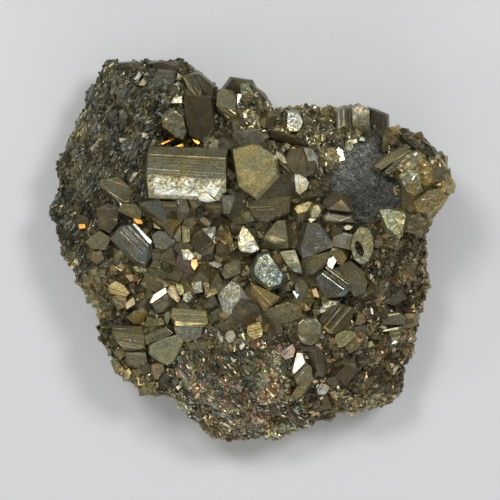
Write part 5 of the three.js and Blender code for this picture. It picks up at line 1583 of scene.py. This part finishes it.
FILM_AND_SHADE_AMOUNT = 0.8
FILM_AND_SHADE_BELOW = (-3.5, -1.0)               # further down, on the free flanks, it thins out again
FILM_AND_SHADE_REST = 0.3
FILM_AND_SHADE_WANDER = 1.0                       # how far its edge strays
FILM_AND_SHADE_ROUGHNESS = 0.2
STREAK_SHADE = 0.14                     # of the growth lines
GREY_PATCH = (24, 14)
GREY_EDGE = (11.0, 12.5)                # distance where the grey patch gives way to brown rock
GREY_WANDER = 7.0
PALE_PATCH = (20, 18, 20)               # middle of its paler part
PALE_EDGE = (4.0, 8.0)
PALE_WANDER = 3.5
ROCK_DARK = (0.085, 0.074, 0.05, 1)
ROCK_BROWN = (0.17, 0.145, 0.095, 1)
ROCK_GLINT = (0.30, 0.26, 0.17, 1)
GREY_ROCK = ((0.07, 0.072, 0.072, 1), (0.2, 0.2, 0.185, 1))
PALE_ROCK = ((0.13, 0.135, 0.125, 1), (0.36, 0.37, 0.32, 1))
ROCK_ROUGHNESS = (0.62, 0.34)           # between its grains and on them
ROCK_BUMP = 0.8
ROCK_RELIEF = 0.25
ROCK_METAL = 0.85


class Nodes:
    """A short way to add and join shader nodes."""

    def __init__(self, name):
        self.material = bpy.data.materials.new(name)
        self.material.use_nodes = True
        self.tree = self.material.node_tree
        self.shader = self.tree.nodes["Principled BSDF"]

    def add(self, kind, values=None, **settings):
        node = self.tree.nodes.new(kind)
        for key, value in settings.items():
            setattr(node, key, value)
        for key, value in (values or {}).items():
            self.fill(node.inputs[key], value)
        return node

    def fill(self, socket, value):
        """Joins a socket to another, or sets its number or colour."""
        if isinstance(value, bpy.types.NodeSocket):
            self.tree.links.new(value, socket)
        else:
            socket.default_value = value

    def math(self, operation, a, b):
        return self.add("ShaderNodeMath", {0: a, 1: b}, operation=operation).outputs[0]

    def vector(self, operation, a, b=(0, 0, 0)):
        return self.add("ShaderNodeVectorMath", {0: a, 1: b}, operation=operation).outputs

    def noise(self, vector, scale, detail=3.0, rough=0.5):
        values = {"Vector": vector, "Scale": scale, "Detail": detail, "Roughness": rough}
        return self.add("ShaderNodeTexNoise", values).outputs["Fac"]

    def ramp(self, value, low, high, to_low=0.0, to_high=1.0):
        values = {"Value": value, 1: low, 2: high, 3: to_low, 4: to_high}
        return self.add("ShaderNodeMapRange", values).outputs[0]

    def mix(self, share, a, b, blend="MIX"):
        values = {0: share, 6: a, 7: b}
        return self.add("ShaderNodeMix", values, data_type="RGBA", blend_type=blend).outputs[2]

    def millimetres(self):
        """Place on the object, in millimetres."""
        place = self.add("ShaderNodeTexCoord").outputs["Object"]
        scale = self.add("ShaderNodeVectorMath", {0: place}, operation="SCALE")
        scale.inputs["Scale"].default_value = MM_PER_METRE
        return scale.outputs[0]

    def set(self, **values):
        for key, value in values.items():
            self.fill(self.shader.inputs[key.replace("_", " ")], value)


def film_and_shade_cover(n, place, patches):
    """How thick the brown film and painted shade lie: most at a crystal's foot, none on its upper part.
    """
    level = n.add("ShaderNodeAttribute", attribute_name="level").outputs["Fac"]
    height = n.add("ShaderNodeSeparateXYZ", {0: place}).outputs["Z"]
    above = n.math("SUBTRACT", height, level)
    above = n.math("ADD", above, n.ramp(patches, 0.3, 0.7, -FILM_AND_SHADE_WANDER, FILM_AND_SHADE_WANDER))
    return n.math("MULTIPLY", n.ramp(above, *FILM_AND_SHADE_REACH, FILM_AND_SHADE_AMOUNT, 0.0),
                  n.ramp(above, *FILM_AND_SHADE_BELOW, FILM_AND_SHADE_REST, 1.0))


def tarnished(n, colour, place, patches, tarnish):
    """The faces' own colour, with darker stains and a warm or cool bloom."""
    stain = n.ramp(patches, 0.42, 0.72, 0.0, tarnish)
    colour = n.mix(stain, colour, n.mix(1.0, colour, STAIN_TINT, "MULTIPLY"))
    bloom = n.ramp(n.noise(place, *BLOOM), 0.4, 0.6)
    return n.mix(1.0, colour, n.mix(bloom, WARM_BLOOM, COOL_BLOOM), "MULTIPLY")


def pyrite_material(name, tarnish, mottling, rib_relief, grain_relief):
    """Polished to tarnished pyrite, with growth lines that follow each face."""
    n = Nodes(name)
    look = n.add("ShaderNodeAttribute", attribute_name="look").outputs
    rib = n.add("ShaderNodeAttribute", attribute_name="rib").outputs["Vector"]
    place = n.millimetres()
    lines = n.noise(n.vector("MULTIPLY", rib, LINE_STRETCH)[0], *LINES)
    patches = n.noise(place, *PATCHES)
    grain = n.noise(place, *GRAIN)
    # painted shade: towards each crystal's foot and in the gaps, the faces darken to a dull brown film
    film_and_shade = film_and_shade_cover(n, place, patches)
    colour = tarnished(n, look["Color"], place, patches, tarnish)
    colour = n.mix(film_and_shade, colour, FILM_AND_SHADE_COLOUR)
    shade = n.math("MULTIPLY", n.ramp(grain, 0.3, 0.7, 1 - mottling, 1 + 0.7 * mottling),
                   n.ramp(lines, 0.3, 0.7, 1 - STREAK_SHADE, 1 + STREAK_SHADE))
    shade = n.add("ShaderNodeCombineColor", {0: shade, 1: shade, 2: shade}).outputs[0]
    colour = n.mix(1.0, colour, shade, "MULTIPLY")
    rough = n.math("ADD", look["Alpha"], n.ramp(patches, 0.3, 0.7, -0.05, 0.12))
    rough = n.math("ADD", rough, n.ramp(grain, 0.35, 0.75, -0.03, 0.1))
    rough = n.math("ADD", rough, n.math("MULTIPLY", film_and_shade, FILM_AND_SHADE_ROUGHNESS))
    relief = n.math("ADD", n.math("MULTIPLY", lines, rib_relief),
                    n.math("MULTIPLY", grain, grain_relief))
    swell = n.math("MULTIPLY", n.noise(place, *SWELL), SWELL_RELIEF)
    relief = n.math("ADD", relief, swell)
    bump = n.add("ShaderNodeBump", {"Height": relief, "Strength": 1.0, "Distance": UNIT})
    metal = n.math("SUBTRACT", METAL, n.math("MULTIPLY", film_and_shade, FILM_AND_SHADE_METAL))
    n.set(Base_Color=colour, Roughness=rough, Metallic=metal, Normal=bump.outputs[0])
    return n.material


def grey_patch(n, place, patches):
    """Where the blue-grey rock shows: 1 in its middle, 0 outside."""
    from_middle = n.vector("SUBTRACT", place, (*GREY_PATCH, 0))[0]
    from_middle = n.vector("MULTIPLY", from_middle, (1, 1, 0))[0]
    reach = n.vector("LENGTH", from_middle)["Value"]
    reach = n.math("ADD", reach, n.math("MULTIPLY", patches, GREY_WANDER))
    return n.ramp(reach, *GREY_EDGE, 1.0, 0.0)


def pale_part(n, place, patches):
    reach = n.vector("DISTANCE", place, PALE_PATCH)["Value"]
    reach = n.math("ADD", reach, n.ramp(patches, 0.3, 0.7, -PALE_WANDER, PALE_WANDER))
    return n.ramp(reach, *PALE_EDGE, 1.0, 0.0)


def rock_material():
    """Massive, granular pyrite of the matrix, with a patch of blue-grey rock in the east."""
    n = Nodes("matrix_pyrite")
    place = n.millimetres()
    patches = n.noise(place, *ROCK_PATCHES)
    grain = n.noise(place, *ROCK_GRAIN)
    colour = n.mix(n.ramp(patches, 0.35, 0.65), ROCK_DARK, ROCK_BROWN)
    colour = n.mix(n.ramp(grain, 0.5, 0.75), colour, ROCK_GLINT)
    slate = n.mix(n.ramp(grain, 0.35, 0.7), *GREY_ROCK)
    pale_slate = n.mix(n.ramp(grain, 0.3, 0.65), *PALE_ROCK)
    slate = n.mix(pale_part(n, place, patches), slate, pale_slate)
    colour = n.mix(grey_patch(n, place, patches), colour, slate)
    rough = n.ramp(grain, 0.3, 0.7, *ROCK_ROUGHNESS)
    relief = {"Height": grain, "Strength": ROCK_BUMP, "Distance": ROCK_RELIEF * UNIT}
    bump = n.add("ShaderNodeBump", relief)
    n.set(Base_Color=colour, Roughness=rough, Metallic=ROCK_METAL, Normal=bump.outputs[0])
    return n.material


def floor_material():
    n = Nodes("pale_floor")
    n.set(Base_Color=FLOOR_COLOUR, Roughness=FLOOR_ROUGHNESS)
    return n.material


# ---------------------------------------------------------------- stage, light and camera

FLOOR_WIDTH = 1.6                       # metres
CAMERA_DISTANCE = 502                   # from the level that is in focus
FOCUS_LEVEL = 18
VIEW_WIDTH = 100                        # of the picture, at that level
SENSOR = 36
# (sine of the height above the horizon, light of the room there)
SKY = [(0.0, 0.18), (0.5, 0.18), (0.75, 0.225), (0.92, 0.36), (1.0, 0.41)]
FLOOR_COLOUR = (0.965, 0.98, 0.99, 1)
FLOOR_ROUGHNESS = 0.6


def make_floor():
    half = FLOOR_WIDTH / 2
    mesh = bpy.data.meshes.new("floor")
    corners = [(-half, -half, 0), (half, -half, 0), (half, half, 0), (-half, half, 0)]
    mesh.from_pydata(corners, [], [(0, 1, 2, 3)])
    mesh.materials.append(floor_material())
    floor = bpy.data.objects.new("floor", mesh)
    bpy.context.scene.collection.objects.link(floor)


def add_light(name, bearing, height, distance, size, power):
    """A soft box that looks at the specimen from a bearing and a height in degrees."""
    b, h = math.radians(bearing), math.radians(height)
    away = Vector((math.cos(b) * math.cos(h), math.sin(b) * math.cos(h), math.sin(h)))
    light = bpy.data.lights.new(name, "AREA")
    light.shape = "RECTANGLE"
    light.size, light.size_y = size
    light.energy = power
    lamp = bpy.data.objects.new(name, light)
    lamp.location = away * distance + Vector((0, 0, FOCUS_LEVEL * UNIT))
    lamp.rotation_euler = away.to_track_quat("Z", "Y").to_euler()
    bpy.context.scene.collection.objects.link(lamp)


def make_lights():
    add_light("key_right", 38, 58, 0.9, (0.22, 0.22), 1.9)
    add_light("key_left", 128, 60, 0.9, (0.22, 0.22), 1.7)
    add_light("front_window", 268, 15, 1.0, (0.7, 0.3), 2.05)
    add_light("side_window", 200, 30, 1.0, (0.3, 0.2), 0.6)


def make_world():
    world = bpy.data.worlds.new("studio")
    world.use_nodes = True
    tree = world.node_tree
    background = tree.nodes["Background"]
    coordinates = tree.nodes.new("ShaderNodeTexCoord")
    split = tree.nodes.new("ShaderNodeSeparateXYZ")
    tree.links.new(coordinates.outputs["Generated"], split.inputs[0])
    ramp = tree.nodes.new("ShaderNodeValToRGB")
    tree.links.new(split.outputs["Z"], ramp.inputs[0])
    stops = ramp.color_ramp.elements
    for stop, (place, light) in zip(stops, (SKY[0], SKY[-1])):
        stop.position = place
        stop.color = (light, light, light, 1)
    for place, light in SKY[1:-1]:
        stops.new(place).color = (light, light, light, 1)
    tree.links.new(ramp.outputs[0], background.inputs["Color"])
    background.inputs["Strength"].default_value = 1.0
    bpy.context.scene.world = world


def make_camera():
    camera = bpy.data.cameras.new("camera")
    camera.sensor_width = SENSOR
    camera.lens = SENSOR * CAMERA_DISTANCE / VIEW_WIDTH
    camera.clip_start = 0.01
    rig = bpy.data.objects.new("camera", camera)
    rig.location = (0, 0, (FOCUS_LEVEL + CAMERA_DISTANCE) * UNIT)
    bpy.context.scene.collection.objects.link(rig)
    bpy.context.scene.camera = rig


# ---------------------------------------------------------------- the specimen


def make_specimen():
    points, normals, caps, quads = rough_matrix()
    make_piece("matrix_rock", matrix_part(points, caps, quads), rock_material())
    crystal_finish = pyrite_material("crystal_pyrite", 0.7, 0.5, 0.016, 0.018)
    druse_finish = pyrite_material("drusy_pyrite", 0.5, 0.45, 0.012, 0.014)
    for name, part in main_groups().items():
        make_piece(name, part, crystal_finish)
    make_piece("small_crystals", filler_part(), crystal_finish)
    for name, part in druse_parts(points, normals, quads).items():
        make_piece(name, part, druse_finish)


make_camera()
make_specimen()
make_floor()
make_lights()
make_world()
bpy.context.scene.view_settings.view_transform = "Standard"
